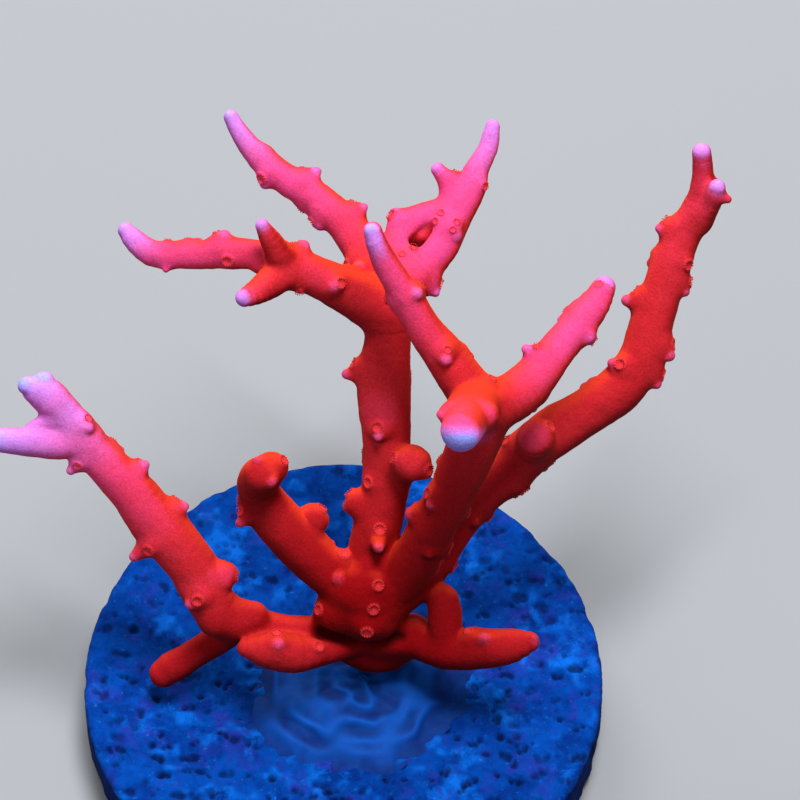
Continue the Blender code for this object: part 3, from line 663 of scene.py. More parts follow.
@dataclass(frozen=True)
class FragCeramic:
    """Unglazed pressed ceramic that has grown a crust in the tank.

    The clay is porous, so it is matt with open pores, and thin crust and film cover it
    in patches of bright blue, cyan and violet. Its pores and side wall are painted dark,
    as shade.
    """

    name: str = "fired_ceramic_with_crust"
    deep: str = "#012874"
    blue: str = "#013C94"
    bright: str = "#085AC0"
    violet: str = "#1E2A8C"
    # Painted shade of the pores and the side wall
    pore: str = "#04031C"
    fleck: str = "#2C86D2"
    cloud_mm: float = 1.5
    film_mm: float = 1.7
    grit_mm: float = 0.3

    def build(self) -> bpy.types.Material:
        """Make the material.

        Returns:
            The material, which reads the attribute crust.
        """
        material, add = new_material(self.name)
        place = add("ShaderNodeTexCoord").outputs["Object"]
        crust = add("ShaderNodeAttribute", attribute_name="crust").outputs["Vector"]
        plate, pore, side = add("ShaderNodeSeparateXYZ", {0: crust}).outputs
        cloud = add("ShaderNodeTexNoise",
                    {"Vector": place, "Scale": 1.0 / (self.cloud_mm * MM), "Detail": 6.0,
                     "Roughness": 0.66, "Distortion": 0.3})
        film = add("ShaderNodeTexNoise",
                   {"Vector": place, "W": 7.0, "Scale": 1.0 / (self.film_mm * MM),
                    "Detail": 4.0, "Roughness": 0.6, "Distortion": 0.8},
                   noise_dimensions="4D")
        grit = add("ShaderNodeTexNoise",
                   {"Vector": place, "Scale": 1.0 / (self.grit_mm * MM), "Detail": 4.0,
                    "Roughness": 0.7})
        blue, violet, fleck, dark_grit = (
            add("ShaderNodeMapRange", {"Value": noise, "From Min": start, "From Max": full,
                                       "To Max": most})
            for noise, start, full, most in ((cloud, 0.38, 0.6, 1.0), (film, 0.54, 0.66, 0.7),
                                             (grit, 0.62, 0.76, 0.5), (grit, 0.42, 0.3, 0.5)))
        bright = add("ShaderNodeMath", {0: plate, 1: blue}, operation="MULTIPLY")
        # The pores and the side wall are painted dark as shade; the dark grit is the ceramic's
        # own
        dark = add("ShaderNodeMath", {0: pore, 1: dark_grit}, operation="MAXIMUM")
        dark = add("ShaderNodeMath", {0: dark, 1: side}, operation="MAXIMUM")
        base = linear(self.deep)
        for share, colour in ((blue, self.blue), (bright, self.bright), (violet, self.violet),
                              (fleck, self.fleck), (dark, self.pore)):
            base = add("ShaderNodeMix", {0: share, 6: base, 7: linear(colour)},
                       data_type="RGBA")
        bump = add("ShaderNodeBump", {"Height": grit, "Strength": 0.6, "Distance": 0.08 * MM})
        # The emission is a painted glow of the ceramic's own colour
        shader = add("ShaderNodeBsdfPrincipled", {
            "Base Color": base, "Roughness": 0.9, "IOR": 1.5, "Specular IOR Level": 0.03,
            "Normal": bump, "Emission Color": base, "Emission Strength": PAINTED_GLOW})
        add("ShaderNodeOutputMaterial", {0: shader})
        return material


@dataclass(frozen=True)
class SetGlue:
    """Cyanoacrylate gel that was kneaded on and set under water.

    Its skin turned milky and wrinkled, so it is smoother and lighter than the ceramic,
    and its folds are painted lighter, as a soft dull highlight.
    """

    name: str = "set_cyanoacrylate_gel"
    deep: str = "#012266"
    milky: str = "#02327C"
    fold: str = "#0652B6"
    violet: str = "#1E2A8C"
    cloud_mm: float = 1.9
    skin_mm: float = 0.3

    def build(self) -> bpy.types.Material:
        """Make the material.

        Returns:
            The material, which reads the attribute fold.
        """
        material, add = new_material(self.name)
        place = add("ShaderNodeTexCoord").outputs["Object"]
        folds = add("ShaderNodeAttribute", attribute_name="fold").outputs["Vector"]
        fold = add("ShaderNodeSeparateXYZ", {0: folds})
        cloud = add("ShaderNodeTexNoise",
                    {"Vector": place, "Scale": 1.0 / (self.cloud_mm * MM), "Detail": 4.0,
                     "Roughness": 0.55, "Distortion": 1.2})
        skin = add("ShaderNodeTexNoise", {"Vector": place, "Scale": 1.0 / (self.skin_mm * MM),
                                          "Detail": 3.0, "Roughness": 0.6})
        milky, violet = (
            add("ShaderNodeMapRange", {"Value": noise, "From Min": start, "From Max": full,
                                       "To Max": most})
            for noise, start, full, most in ((cloud, 0.36, 0.62, 1.0), (skin, 0.58, 0.72, 0.45)))
        base = linear(self.deep)
        # The folds are painted lighter, as a highlight
        for share, colour in ((milky, self.milky), (fold, self.fold), (violet, self.violet)):
            base = add("ShaderNodeMix", {0: share, 6: base, 7: linear(colour)},
                       data_type="RGBA")
        bump = add("ShaderNodeBump", {"Height": skin, "Strength": 0.35, "Distance": 0.06 * MM})
        # The emission is a painted glow of the glue's own colour
        shader = add("ShaderNodeBsdfPrincipled", {
            "Base Color": base, "Roughness": 0.65, "IOR": 1.45, "Specular IOR Level": 0.08,
            "Normal": bump, "Emission Color": base, "Emission Strength": PAINTED_GLOW})
        add("ShaderNodeOutputMaterial", {0: shader})
        return material


@dataclass(frozen=True)
class TentacleFlesh:
    """The drawn-in tentacles of the polyps: soft wet flesh, a brighter red than the skin."""

    name: str = "polyp_tentacle_flesh"
    shaded: str = "#AA2028"
    colour: str = "#D0363C"
    tone_mm: float = 0.3

    def build(self) -> bpy.types.Material:
        """Make the material.

        Returns:
            The material.
        """
        material, add = new_material(self.name)
        tone = add("ShaderNodeTexNoise",
                   {"Vector": add("ShaderNodeTexCoord").outputs["Object"],
                    "Scale": 1.0 / (self.tone_mm * MM), "Detail": 1.0})
        base = add("ShaderNodeMix", {0: tone, 6: linear(self.shaded), 7: linear(self.colour)},
                   data_type="RGBA")
        # The emission is a painted glow of the tentacles' own colour
        shader = add("ShaderNodeBsdfPrincipled", {
            "Base Color": base, "Roughness": 0.55, "IOR": 1.4, "Specular IOR Level": 0.2,
            "Emission Color": base, "Emission Strength": PAINTED_GLOW})
        add("ShaderNodeOutputMaterial", {0: shader})
        return material


@dataclass(frozen=True)
class Polyp:
    """One polyp on the skin: its middle, the way it faces, the way up and its scale."""

    middle: np.ndarray
    facing: np.ndarray
    up: np.ndarray
    size: float


class SkinField:
    """Distance to the smooth skin of all stems, swellings and lumps, in millimetres."""

    # The distance that stands for out of reach, and how many cones are measured at once
    FAR = 9.0
    CHUNK = 6
    # A blended direction is never taken as shorter, and a point never moves further
    LEAST_WAY = 0.3
    MOST_MOVE = 0.5

    def __init__(self, fillet: float, lump_fillet: float) -> None:
        """Start an empty field.

        Args:
            fillet: How widely stems flow into each other at a fork.
            lump_fillet: The same, where a lump stands on the skin.
        """
        self.fillet = fillet
        self.lump_fillet = lump_fillet
        self.chains: list = []
        self.lumps: list = []

    def add_stem(self, owner: int, path: np.ndarray) -> None:
        """Add a stem along a path of (x, y, z, radius)."""
        self.chains.append((owner, path))

    def add_lump(self, owner: int, foot: np.ndarray, wide: float, top: np.ndarray,
                 narrow: float) -> None:
        """Add a rounded cone from its foot to its top."""
        self.lumps.append((owner, np.vstack(([*foot, wide], [*top, narrow]))))

    @classmethod
    def to_chain(cls, points: np.ndarray, path: np.ndarray, margin: float) -> tuple:
        """Measure points against one chain of round cones.

        Args:
            points: Places, one row each.
            path: Rows of (x, y, z, radius).
            margin: How far from the chain a point still counts.

        Returns:
            The distance, the direction outwards, and how far along the chain, 0 to 1.
        """
        best = np.full(len(points), cls.FAR)
        outward = np.zeros_like(points)
        along = np.zeros(len(points))
        for first in range(0, len(path) - 1, cls.CHUNK):
            rows = path[first:first + cls.CHUNK + 1]
            near = cls.near(points, rows, margin)
            close, own, way, share_of = points[near], best[near], outward[near], along[near]
            for i, (start, end) in enumerate(zip(rows, rows[1:]), first):
                axis = end[:3] - start[:3]
                offset = close - start[:3]
                share = np.clip(offset @ axis / (axis @ axis), 0.0, 1.0)
                away = offset - share[:, None] * axis
                length = np.sqrt(np.einsum("ij,ij->i", away, away))
                depth = length - (start[3] + share * (end[3] - start[3]))
                nearer = depth < own
                own[nearer] = depth[nearer]
                way[nearer] = away[nearer] / np.maximum(length[nearer], 1e-6)[:, None]
                share_of[nearer] = (i + share[nearer]) / (len(path) - 1)
            best[near], outward[near], along[near] = own, way, share_of
        return best, outward, along

    @staticmethod
    def near(points: np.ndarray, path: np.ndarray, margin: float) -> np.ndarray:
        """Numbers of the points inside the box of a chain, grown by a margin."""
        reach = path[:, 3].max() + margin
        low = path[:, :3].min(axis=0) - reach
        high = path[:, :3].max(axis=0) + reach
        inside = (points[:, 0] > low[0]) & (points[:, 0] < high[0])
        inside &= (points[:, 1] > low[1]) & (points[:, 1] < high[1])
        inside &= (points[:, 2] > low[2]) & (points[:, 2] < high[2])
        return np.flatnonzero(inside)

    def measure(self, points: np.ndarray, margin: float, nearby: list | None = None) -> tuple:
        """Measure points against the whole skin.

        Args:
            points: Places, one row each.
            margin: How far from a stem or lump a point still counts.
            nearby: The points near each stem and lump, where they are known.

        Returns:
            The distance and the direction outwards.
        """
        depth = np.full(len(points), self.FAR)
        outward = np.tile((0.0, 0.0, 1.0), (len(points), 1))
        nearby = nearby or self.nearby(points, margin)
        widths = [self.fillet] * len(self.chains) + [self.lump_fillet] * len(self.lumps)
        for (_, path), near, width in zip([*self.chains, *self.lumps], nearby, widths):
            if not len(near):
                continue
            other, other_way, _ = self.to_chain(points[near], path, margin)
            own = depth[near]
            share = np.clip(0.5 + 0.5 * (other - own) / width, 0.0, 1.0)
            depth[near] = other + (own - other) * share - width * share * (1.0 - share)
            outward[near] = other_way + (outward[near] - other_way) * share[:, None]
        return depth, outward

    def nearby(self, points: np.ndarray, margin: float) -> list:
        """List the points near each stem and each lump."""
        return [self.near(points, path, margin) for _, path in [*self.chains, *self.lumps]]

    def settle(self, points: np.ndarray, rounds: int = 8, margin: float = 2.0) -> tuple:
        """Move points on to the skin.

        Args:
            points: Places near the skin, one row each.
            rounds: How often to correct them.
            margin: How far from the skin they may be.

        Returns:
            The places on the skin, and the directions outwards.
        """
        nearby = self.nearby(points, margin + 0.3)
        outward = np.zeros_like(points)
        for _ in range(rounds):
            depth, outward = self.measure(points, margin, nearby)
            length = np.maximum(np.linalg.norm(outward, axis=1), self.LEAST_WAY)
            move = np.clip(depth, -self.MOST_MOVE, self.MOST_MOVE) / length ** 2
            points = points - outward * move[:, None]
        return points, unit(outward)


@dataclass
class CoralColony:
    """The coral: a skin cut into branches, and the crowns of tentacles on its polyps."""

    # The skin: its grid, the rough bodies it starts from, and how they flow together
    voxel: float = 0.09
    path_step: float = 0.45
    loft_sides: int = 18
    loft_swell: float = 0.07
    fork_fillet: float = 0.42
    lump_fillet: float = 0.42
    skin_margin: float = 0.7
    wall_inset: float = 0.4
    # Layers of the skin's relief: strength, cell, seed
    relief: tuple = ((0.08, 2.3, 3), (0.035, 0.9, 5), (0.013, 0.3, 8))
    # The spine under a polyp, and the lip from its tip to the polyp
    lump_foot: float = 0.6
    lump_sunk: float = 0.34
    lump_top: float = 0.17
    lump_least: float = 0.3
    lip_reach: float = 1.6
    lip_foot: float = 0.66
    lip_sunk: float = 0.5
    lip_top: float = 0.9 * 0.17
    # A polyp's swelling rises higher beside a spine. Widths stay under these shares of
    # their stem's radius
    swelling: float = 0.7
    swelling_rise: float = 0.16
    flush_rise: float = 0.05
    beside: float = 1.1
    lump_share: float = 0.7
    lip_share: float = 0.75
    swelling_share: float = 0.85
    swelling_depth: float = 0.1
    # The polyp's raised rim and sunk mouth, and how much height counts in their reach.
    # A polyp that settles too far off is left out
    ring_width: float = 0.09
    ring_height: float = 0.09
    mouth_share: float = 0.6
    mouth_depth: float = 0.07
    height_share: float = 0.4
    most_shift: float = 0.8
    # The step and reach of a groove, and how fast its painted shade darkens it and takes
    # away its pink
    groove_step: float = 0.2
    groove_reach: float = 3.0
    groove_painted_shade: float = 1.8
    groove_shade_pink_loss: float = 1.7
    # Pinkness and paleness of the side that faces away from the painted blue-violet
    # light, and what more the other side has from it
    pink_spread: tuple = (0.15, 0.95)
    pale_spread: tuple = (0.5, 0.55)
    # The heights over which the painted orange light gets stronger, its start and what
    # more it has at the top
    painted_orange_heights: tuple = (6.0, 16.0)
    painted_orange_spread: tuple = (0.2, 0.65)
    # Lumps and flush polyps on the side that faces away
    far_path_step: float = 0.3375
    far_step: float = 4.7
    far_margin: float = 2.2
    far_turn: float = math.radians(48.0)
    far_height: float = 0.4
    far_ahead: float = 0.55
    flush_gaps: tuple = (0.45, 0.7)
    flush_turn: float = 1.25
    flush_from_ring: float = 1.5
    flush_from_lump: float = 1.2
    # The tentacles
    stub_radius: float = 0.05
    stub_height: float = 0.045
    stub_lean: float = 1.3
    stub_least: float = 0.7
    stub_most: float = 1.25
    seed: int = 11
    stub_seed: int = 4
    skin_field: SkinField = field(init=False)
    polyps: list = field(init=False, default_factory=list)
    pieces: list = field(init=False, default_factory=list)

    def plan(self) -> None:
        """Work out the field of the skin and the places of the polyps."""
        self.skin_field = SkinField(self.fork_fillet, self.lump_fillet)
        for number, branch in enumerate(BRANCHES.values()):
            for stem in branch.stems:
                self.skin_field.add_stem(number, smooth_path(stem, self.path_step))
        rings = []
        tops = []
        rng = random.Random(self.seed)
        for number, branch in enumerate(BRANCHES.values()):
            tops += [(number, np.array(top)) for top in branch.lumps]
            rings += [(number, np.array(ring[:3]), UPHILL, fourth(ring))
                      for ring in branch.rings]
            if branch.far:
                far_tops, far_rings = self.far_side(branch.stems[0], rng)
                tops += [(number, top) for top in far_tops]
                rings += [(number, ring, way, 1.0) for ring, way in far_rings]
        middles, facings = self.skin_field.settle(np.array([ring[1] for ring in rings]))
        for number, top in tops:
            self.add_spine(number, top, middles, facings)
        top_places = np.array([top for _, top in tops])
        for (number, _, _, size), middle, facing in zip(rings, middles, facings):
            beside = np.linalg.norm(top_places - middle, axis=1).min() < self.beside
            rise = self.swelling_rise if beside else self.flush_rise
            self.add_swelling(number, middle, facing, rise, size)
        settled, outward = self.skin_field.settle(middles)
        for place, before, out, facing, (_, _, way, size) in zip(settled, middles, outward,
                                                                 facings, rings):
            if np.linalg.norm(place - before) > self.most_shift:
                continue
            normal = unit(out + facing)
            self.polyps.append(Polyp(place, normal, unit(way - normal * (way @ normal)), size))
        LOG.info("%d polyps of %d, %d lumps", len(self.polyps), len(rings), len(tops))

    def far_side(self, stem: tuple, rng: random.Random) -> tuple:
        """Find lumps and polyps along the side that faces away.

        Args:
            stem: The branch's main stem.
            rng: Source of the small differences.

        Returns:
            The tops of the lumps, and (middle, way up) of the polyps.
        """
        path = smooth_path(stem, self.far_path_step)
        steps = np.linalg.norm(np.diff(path[:, :3], axis=0), axis=1)
        walked = np.concatenate(((0.0,), np.cumsum(steps)))
        tops, rings = [], []
        due = self.far_margin
        flush_due = self.far_margin + 0.5 * self.far_step
        for i in range(1, len(path) - 1):
            centre, radius = path[i, :3], path[i, 3]
            tangent = unit(path[i + 1, :3] - path[i - 1, :3])
            away = unit(AWAY - tangent * (AWAY @ tangent))
            side = np.cross(tangent, away)
            inside = self.far_margin <= walked[i] <= walked[-1] - self.far_margin
            if inside and walked[i] >= due:
                due += self.far_step
                turn = self.far_turn if len(tops) % 2 else -self.far_turn
                out = away * math.cos(turn) + side * math.sin(turn)
                tops.append(centre + out * (radius + self.far_height))
                rings.append((centre + out * radius + tangent * self.far_ahead, tangent))
            elif inside and walked[i] >= flush_due:
                flush_due += self.far_step * rng.uniform(*self.flush_gaps)
                turn = rng.uniform(-self.flush_turn, self.flush_turn)
                out = away * math.cos(turn) + side * math.sin(turn)
                place = centre + out * radius
                others = [(ring, self.flush_from_ring) for ring, _ in rings]
                others += [(top, self.flush_from_lump) for top in tops]
                if all(np.linalg.norm(place - other) > gap for other, gap in others):
                    rings.append((place, tangent))
        return tops, rings

    def nearest_stem(self, number: int, point: np.ndarray) -> tuple:
        """Find the nearest stem of a branch.

        Args:
            number: The branch's number.
            point: The place to measure from.

        Returns:
            The distance to its skin, the direction outwards, and its radius there.
        """
        found = []
        for owner, path in self.skin_field.chains:
            if owner == number:
                depth, outward, along = self.skin_field.to_chain(point[None], path, 5.0)
                radius = path[round(float(along[0]) * (len(path) - 1)), 3]
                found.append((depth[0], outward[0], radius))
        return min(found, key=lambda one: one[0])

    def add_spine(self, number: int, top: np.ndarray, middles: np.ndarray,
                  facings: np.ndarray) -> None:
        """Add the spine under a polyp, with a lip that runs up to the polyp.

        Args:
            number: The branch's number.
            top: The top of the spine.
            middles: Middles of all polyps.
            facings: The ways they face.
        """
        height, out, girth = self.nearest_stem(number, top)
        foot = top - out * (max(height, self.lump_least) + self.lump_sunk)
        tip = top - out * self.lump_top
        self.skin_field.add_lump(number, foot, min(self.lump_foot, self.lump_share * girth),
                                 tip, self.lump_top)
        reach = np.linalg.norm(middles - top, axis=1)
        polyp = int(reach.argmin())
        if reach[polyp] < self.lip_reach:
            self.skin_field.add_lump(number, middles[polyp] - facings[polyp] * self.lip_sunk,
                                     min(self.lip_foot, self.lip_share * girth), tip,
                                     self.lip_top)

    def add_swelling(self, number: int, middle: np.ndarray, facing: np.ndarray,
                     rise: float, size: float) -> None:
        """Add the soft swelling under a polyp."""
        _, _, girth = self.nearest_stem(number, middle)
        radius = min(self.swelling * size, self.swelling_share * girth)
        centre = middle - facing * (radius - rise)
        self.skin_field.add_lump(number, centre - facing * self.swelling_depth,
                                 radius - self.swelling_depth, centre, radius)

    def rough_body(self) -> bpy.types.Object:
        """Loft every stem and lump, and fuse them in one closed mesh of even quads.

        Returns:
            The rough body, in millimetres.
        """
        verts: list = []
        faces: list = []
        sides = self.loft_sides
        turn = np.linspace(0.0, 2.0 * np.pi, sides, endpoint=False)
        # How far out each ring of a round end lies, as a share of its radius
        caps = (0.25, 0.5, 0.75, 0.92)
        for _, bare in [*self.skin_field.chains, *self.skin_field.lumps]:
            path = bare + np.array((0.0, 0.0, 0.0, self.loft_swell))
            ways = unit(np.gradient(path[:, :3], axis=0))
            start, end = ([(row[:3] + way * row[3] * out * share,
                            row[3] * math.sqrt(1.0 - share * share), way) for share in caps]
                          for row, way, out in ((path[0], ways[0], -1.0),
                                                (path[-1], ways[-1], 1.0)))
            rings = [*reversed(start), *((row[:3], row[3], way) for row, way in zip(path, ways)),
                     *end]
            # Any line that no stem runs along will do to start from
            across = unit(np.cross(ways[0], (0.31, 0.2, 0.93)))
            first = len(verts)
            for centre, radius, way in rings:
                across = unit(across - way * (across @ way))
                up = np.cross(way, across)
                for angle in turn:
                    verts.append(centre + radius * (across * math.cos(angle)
                                                    + up * math.sin(angle)))
            faces += ring_quads(first, len(rings), sides)
            faces.append(tuple(first + i for i in reversed(range(sides))))
            faces.append(tuple(len(verts) - sides + i for i in range(sides)))
        body = mesh_object("rough_body", np.array(verts), faces, 1.0)
        remesh = body.modifiers.new("even_quads", "REMESH")
        remesh.mode = "VOXEL"
        remesh.voxel_size = self.voxel
        bake_modifiers(body)
        return body

    def shape(self) -> tuple:
        """Make the vertices and quads of the whole skin.

        Returns:
            The places, the directions outwards, the quads, and the two vertex attributes.
        """
        body = self.rough_body()
        mesh = body.data
        places = np.empty(len(mesh.vertices) * 3, np.float32)
        mesh.vertices.foreach_get("co", places)
        places = places.reshape(-1, 3).astype(float)
        quads = np.array([tuple(face.vertices) for face in mesh.polygons
                          if len(face.vertices) == 4])
        LOG.info("skin: %d vertices, %d quads, %d other faces", len(places), len(quads),
                 len(mesh.polygons) - len(quads))
        drop(body)
        for _ in range(2):
            places = self.relax(places, quads, 3)
            places, outward = self.skin_field.settle(places, 3, self.skin_margin)
        tissue = self.colour(places, outward)
        relief = layered_noise(places, self.relief)
        polyp = self.raise_rims(places, relief)
        self.cut_grooves(places, relief, tissue)
        places = places + outward * relief[:, None]
        floor = BRANCHES["trunk"].stems[0][0][2]
        places[:, 2] = np.maximum(places[:, 2], floor)
        return places, outward, quads, tissue, polyp

    def raise_rims(self, places: np.ndarray, relief: np.ndarray) -> np.ndarray:
        """Add every polyp's rim and mouth to the relief.

        Args:
            places: Places on the skin.
            relief: How far each of them is pushed out, which is changed here.

        Returns:
            For each place (right, up, distance) on the nearest polyp, in its own scale.
        """
        # Two millimetres away counts as on no polyp
        polyp = np.tile((1.0, 0.0, 2.0), (len(places), 1))
        for one in self.polyps:
            offset = places - one.middle
            near = np.flatnonzero((np.abs(offset) < 1.0).all(axis=1))
            offset = offset[near]
            right = np.cross(one.up, one.facing)
            x, y, z = (offset @ way / one.size for way in (right, one.up, one.facing))
            out = np.sqrt(x * x + y * y + (self.height_share * z) ** 2)
            ring = np.exp(-((out - POLYP_RADIUS) / self.ring_width) ** 2)
            mouth = np.exp(-(out / (self.mouth_share * POLYP_RADIUS)) ** 2)
            relief[near] += (self.ring_height * ring - self.mouth_depth * mouth) * one.size
            nearest = out < polyp[near, 2]
            polyp[near[nearest]] = np.stack((x, y, out), axis=1)[nearest]
        return polyp

    def cut_grooves(self, places: np.ndarray, relief: np.ndarray, tissue: np.ndarray) -> None:
        """Cut the grooves into the relief, with painted shade in them: darker, less pink skin.

        Args:
            places: Places on the skin.
            relief: How far each of them is pushed out, which is changed here.
            tissue: Rows of (pinkness, paleness, shade), which are changed here.
        """
        for line, width, depth in (one for branch in BRANCHES.values() for one in branch.grooves):
            middle, _ = self.skin_field.settle(np.array([row[:3] for row in line]))
            path = smooth_path(np.hstack((middle, np.zeros((len(line), 1)))), self.groove_step)
            away, _, along = self.skin_field.to_chain(places, path, self.groove_reach * width)
            share = np.exp(-(away / width) ** 2)
            share *= np.interp(along, np.linspace(0.0, 1.0, len(line)), [*map(fourth, line)])
            relief -= depth * share
            # The groove's skin is painted darker and less pink, as shade
            dark = min(1.0, self.groove_painted_shade * depth) * share
            tissue[:, 2] += dark * (1.0 - tissue[:, 2])
            tissue[:, 0] *= 1.0 - np.minimum(1.0, self.groove_shade_pink_loss * dark)

    @staticmethod
    def relax(places: np.ndarray, quads: np.ndarray, rounds: int) -> np.ndarray:
        """Even out a skin by moving each vertex towards the middle of its neighbours.

        Args:
            places: Places of the vertices.
            quads: Vertex numbers of the quads.
            rounds: How often to move them.

        Returns:
            The new places.
        """
        a, b = quads.ravel(), np.roll(quads, -1, axis=1).ravel()
        total = len(places)
        count = np.bincount(a, minlength=total) + np.bincount(b, minlength=total)
        for _ in range(rounds):
            middle = np.stack([np.bincount(a, places[b, k], total)
                               + np.bincount(b, places[a, k], total) for k in range(3)], axis=1)
            places = places + 0.6 * (middle / count[:, None] - places)
        return places

    def colour(self, places: np.ndarray, outward: np.ndarray) -> np.ndarray:
        """Work out how pink, pale and shaded the skin is at its vertices.

        Args:
            places: Places on the skin.
            outward: Directions outwards.

        Returns:
            One row of (pinkness, paleness, shade) for each place. Pinkness and paleness are
            partly painted light, stronger on the side that faces a blue-violet light. Shade is
            painted shade, and goes below zero where the skin is painted orange light.
        """
        bare, pale = self.mixed_tissue(places, outward)
        # Pink and pale are painted stronger on the side that faces a blue-violet light
        facing_pink_light = outward @ unit(PAINTED_PINK_LIGHT_SIDE)
        (least, more), (pale_least, pale_more) = self.pink_spread, self.pale_spread
        pink = bare * (least + more * smoothstep(0.0, 0.8, facing_pink_light))
        pale = pale * (pale_least + pale_more * smoothstep(-0.1, 0.7, facing_pink_light))
        # A spine's tip is paler and pinker where a lip ends on it. No other lump is as thin
        for _, lump in self.skin_field.lumps:
            if lump[1, 3] < self.lump_top:
                reach = np.linalg.norm(places - lump[1, :3], axis=1)
                near = np.flatnonzero(reach < 0.7)
                tip = smoothstep(0.6, 0.1, reach[near])
                pink[near] += (0.25 * tip) * (1.0 - pink[near])
                pale[near] = np.maximum(pale[near], (0.2 + 0.32 * bare[near]) * tip)
        lit = outward @ unit(LIT_SIDE)
        # Painted orange light lies on the uphill side and its flanks, less of it on pink
        # branches. Skin that faces away from the light gets painted shade
        sunny = outward @ UPHILL + 0.4 * np.abs(outward[:, 0])
        warm_least, warm_more = self.painted_orange_spread
        painted_orange_light = warm_least + warm_more * smoothstep(*self.painted_orange_heights, places[:, 2])
        painted_orange_light = painted_orange_light * smoothstep(0.32, 1.0, sunny)
        shade = smoothstep(0.2, -0.75, lit) - painted_orange_light * (1.0 - 0.45 * bare)
        return np.stack((pink, pale, shade), axis=1)

    def mixed_tissue(self, places: np.ndarray, outward: np.ndarray) -> tuple:
        """Mix how pink and how pale the stems are, so that they flow into each other.

        Args:
            places: Places on the skin.
            outward: Directions outwards.

        Returns:
            The pinkness and the paleness of each place.
        """
        weights = np.full(len(places), 1e-9)
        pink = np.zeros(len(places))
        pale = np.zeros(len(places))
        stems = [(branch, i) for branch in BRANCHES.values() for i in range(len(branch.stems))]
        for (branch, i), (_, path) in zip(stems, self.skin_field.chains):
            length, strength = branch.tips[min(i, len(branch.tips) - 1)]
            near = self.skin_field.near(places, path, 1.2)
            depth, _, along = self.skin_field.to_chain(places[near], path, 1.2)
            weight = np.exp(-depth / 0.3)
            rows = branch.pink[min(i, len(branch.pink) - 1)]
            run = np.linalg.norm(np.diff(path[:, :3], axis=0), axis=1).sum()
            beyond = (places[near] - path[-1, :3]) @ unit(path[-1, :3] - path[-2, :3])
            # How far it is from each place to the stem's tip
            left = run * (1.0 - along) + path[-1, 3] - np.where(along > 0.99, beyond, 0.0)
            if branch.pale_way:
                left = 0.4 - (places[near] - path[-1, :3]) @ np.array(branch.pale_way)
            faint = np.zeros(len(near))
            if length > 0.0:
                faint = strength * np.clip(1.0 - left / length, 0.0, 1.3) ** 1.4
            if branch.pale_side:
                faint *= 0.25 + 0.85 * smoothstep(0.1, 0.9, outward[near]
                                                  @ unit(np.array(branch.pale_side)))
            weights[near] += weight
            pink[near] += weight * np.interp(along, np.linspace(0.0, 1.0, len(rows)), rows)
            pale[near] += weight * faint
        return pink / weights, pale / weights

    def label(self, places: np.ndarray, quads: np.ndarray) -> np.ndarray:
        """Say which branch each quad belongs to, in one island for each branch.

        Args:
            places: Places of the vertices.
            quads: Vertex numbers of the quads.

        Returns:
            A branch number for each quad.
        """
        depths = np.full((len(places), len(BRANCHES)), SkinField.FAR)
        for owner, path in [*self.skin_field.chains, *self.skin_field.lumps]:
            near = self.skin_field.near(places, path, 0.9)
            depth, _, _ = self.skin_field.to_chain(places[near], path, 0.9)
            depths[near, owner] = np.minimum(depths[near, owner], depth)
        labels = depths[quads].mean(axis=1).argmin(axis=1)
        pairs = self.neighbours(quads)
        for _ in range(4):
            stray = self.strays(labels, pairs)
            if not len(stray):
                break
            lost = np.zeros(len(labels), bool)
            lost[stray] = True
            while lost.any():
                edge = pairs[lost[pairs[:, 0]] & ~lost[pairs[:, 1]]]
                if not len(edge):
                    break
                labels[edge[:, 0]] = labels[edge[:, 1]]
                lost[edge[:, 0]] = False
        return labels

    @staticmethod
    def neighbours(quads: np.ndarray) -> np.ndarray:
        """Pair up the quads that share an edge, both ways round."""
        count = len(quads)
        edges = np.stack((quads, np.roll(quads, -1, axis=1)), axis=2).reshape(-1, 2)
        edges.sort(axis=1)
        keys = edges[:, 0] * (quads.max() + 1) + edges[:, 1]
        owner = np.repeat(np.arange(count), 4)
        order = np.argsort(keys, kind="stable")
        same = keys[order][1:] == keys[order][:-1]
        a, b = owner[order][:-1][same], owner[order][1:][same]
        return np.vstack((np.stack((a, b), axis=1), np.stack((b, a), axis=1)))

    @staticmethod
    def strays(labels: np.ndarray, pairs: np.ndarray) -> np.ndarray:
        """Find the quads outside the largest island of their own branch."""
        root = np.arange(len(labels))
        linked = pairs[labels[pairs[:, 0]] == labels[pairs[:, 1]]]
        while True:
            lowest = root.copy()
            np.minimum.at(lowest, linked[:, 0], root[linked[:, 1]])
            lowest = lowest[lowest]
            if (lowest == root).all():
                break
            root = lowest
        stray = np.zeros(len(labels), bool)
        for number in np.unique(labels):
            members = np.flatnonzero(labels == number)
            islands, sizes = np.unique(root[members], return_counts=True)
            stray[members] = root[members] != islands[sizes.argmax()]
        return np.flatnonzero(stray)

    @staticmethod
    def rims(quads: np.ndarray) -> list:
        """Walk the open rims of a patch of quads.

        Args:
            quads: Vertex numbers of the patch.

        Returns:
            Closed loops of vertex numbers, each vertex once in its loop.
        """
        edges = np.stack((quads, np.roll(quads, -1, axis=1)), axis=2).reshape(-1, 2)
        there = set(map(tuple, edges.tolist()))
        onward: dict = {}
        for a, b in there:
            if (b, a) not in there:
                onward.setdefault(a, []).append(b)
        loops = []
        while onward:
            start = next(iter(onward))
            walk = [start]
            while True:
                nexts = onward.get(walk[-1])
                if not nexts:
                    break
                following = nexts.pop()
                if not nexts:
                    del onward[walk[-1]]
                if following in walk:
                    at = walk.index(following)
                    loops.append(walk[at:])
                    walk = walk[:at + 1]
                else:
                    walk.append(following)
        return [loop for loop in loops if len(loop) > 2]

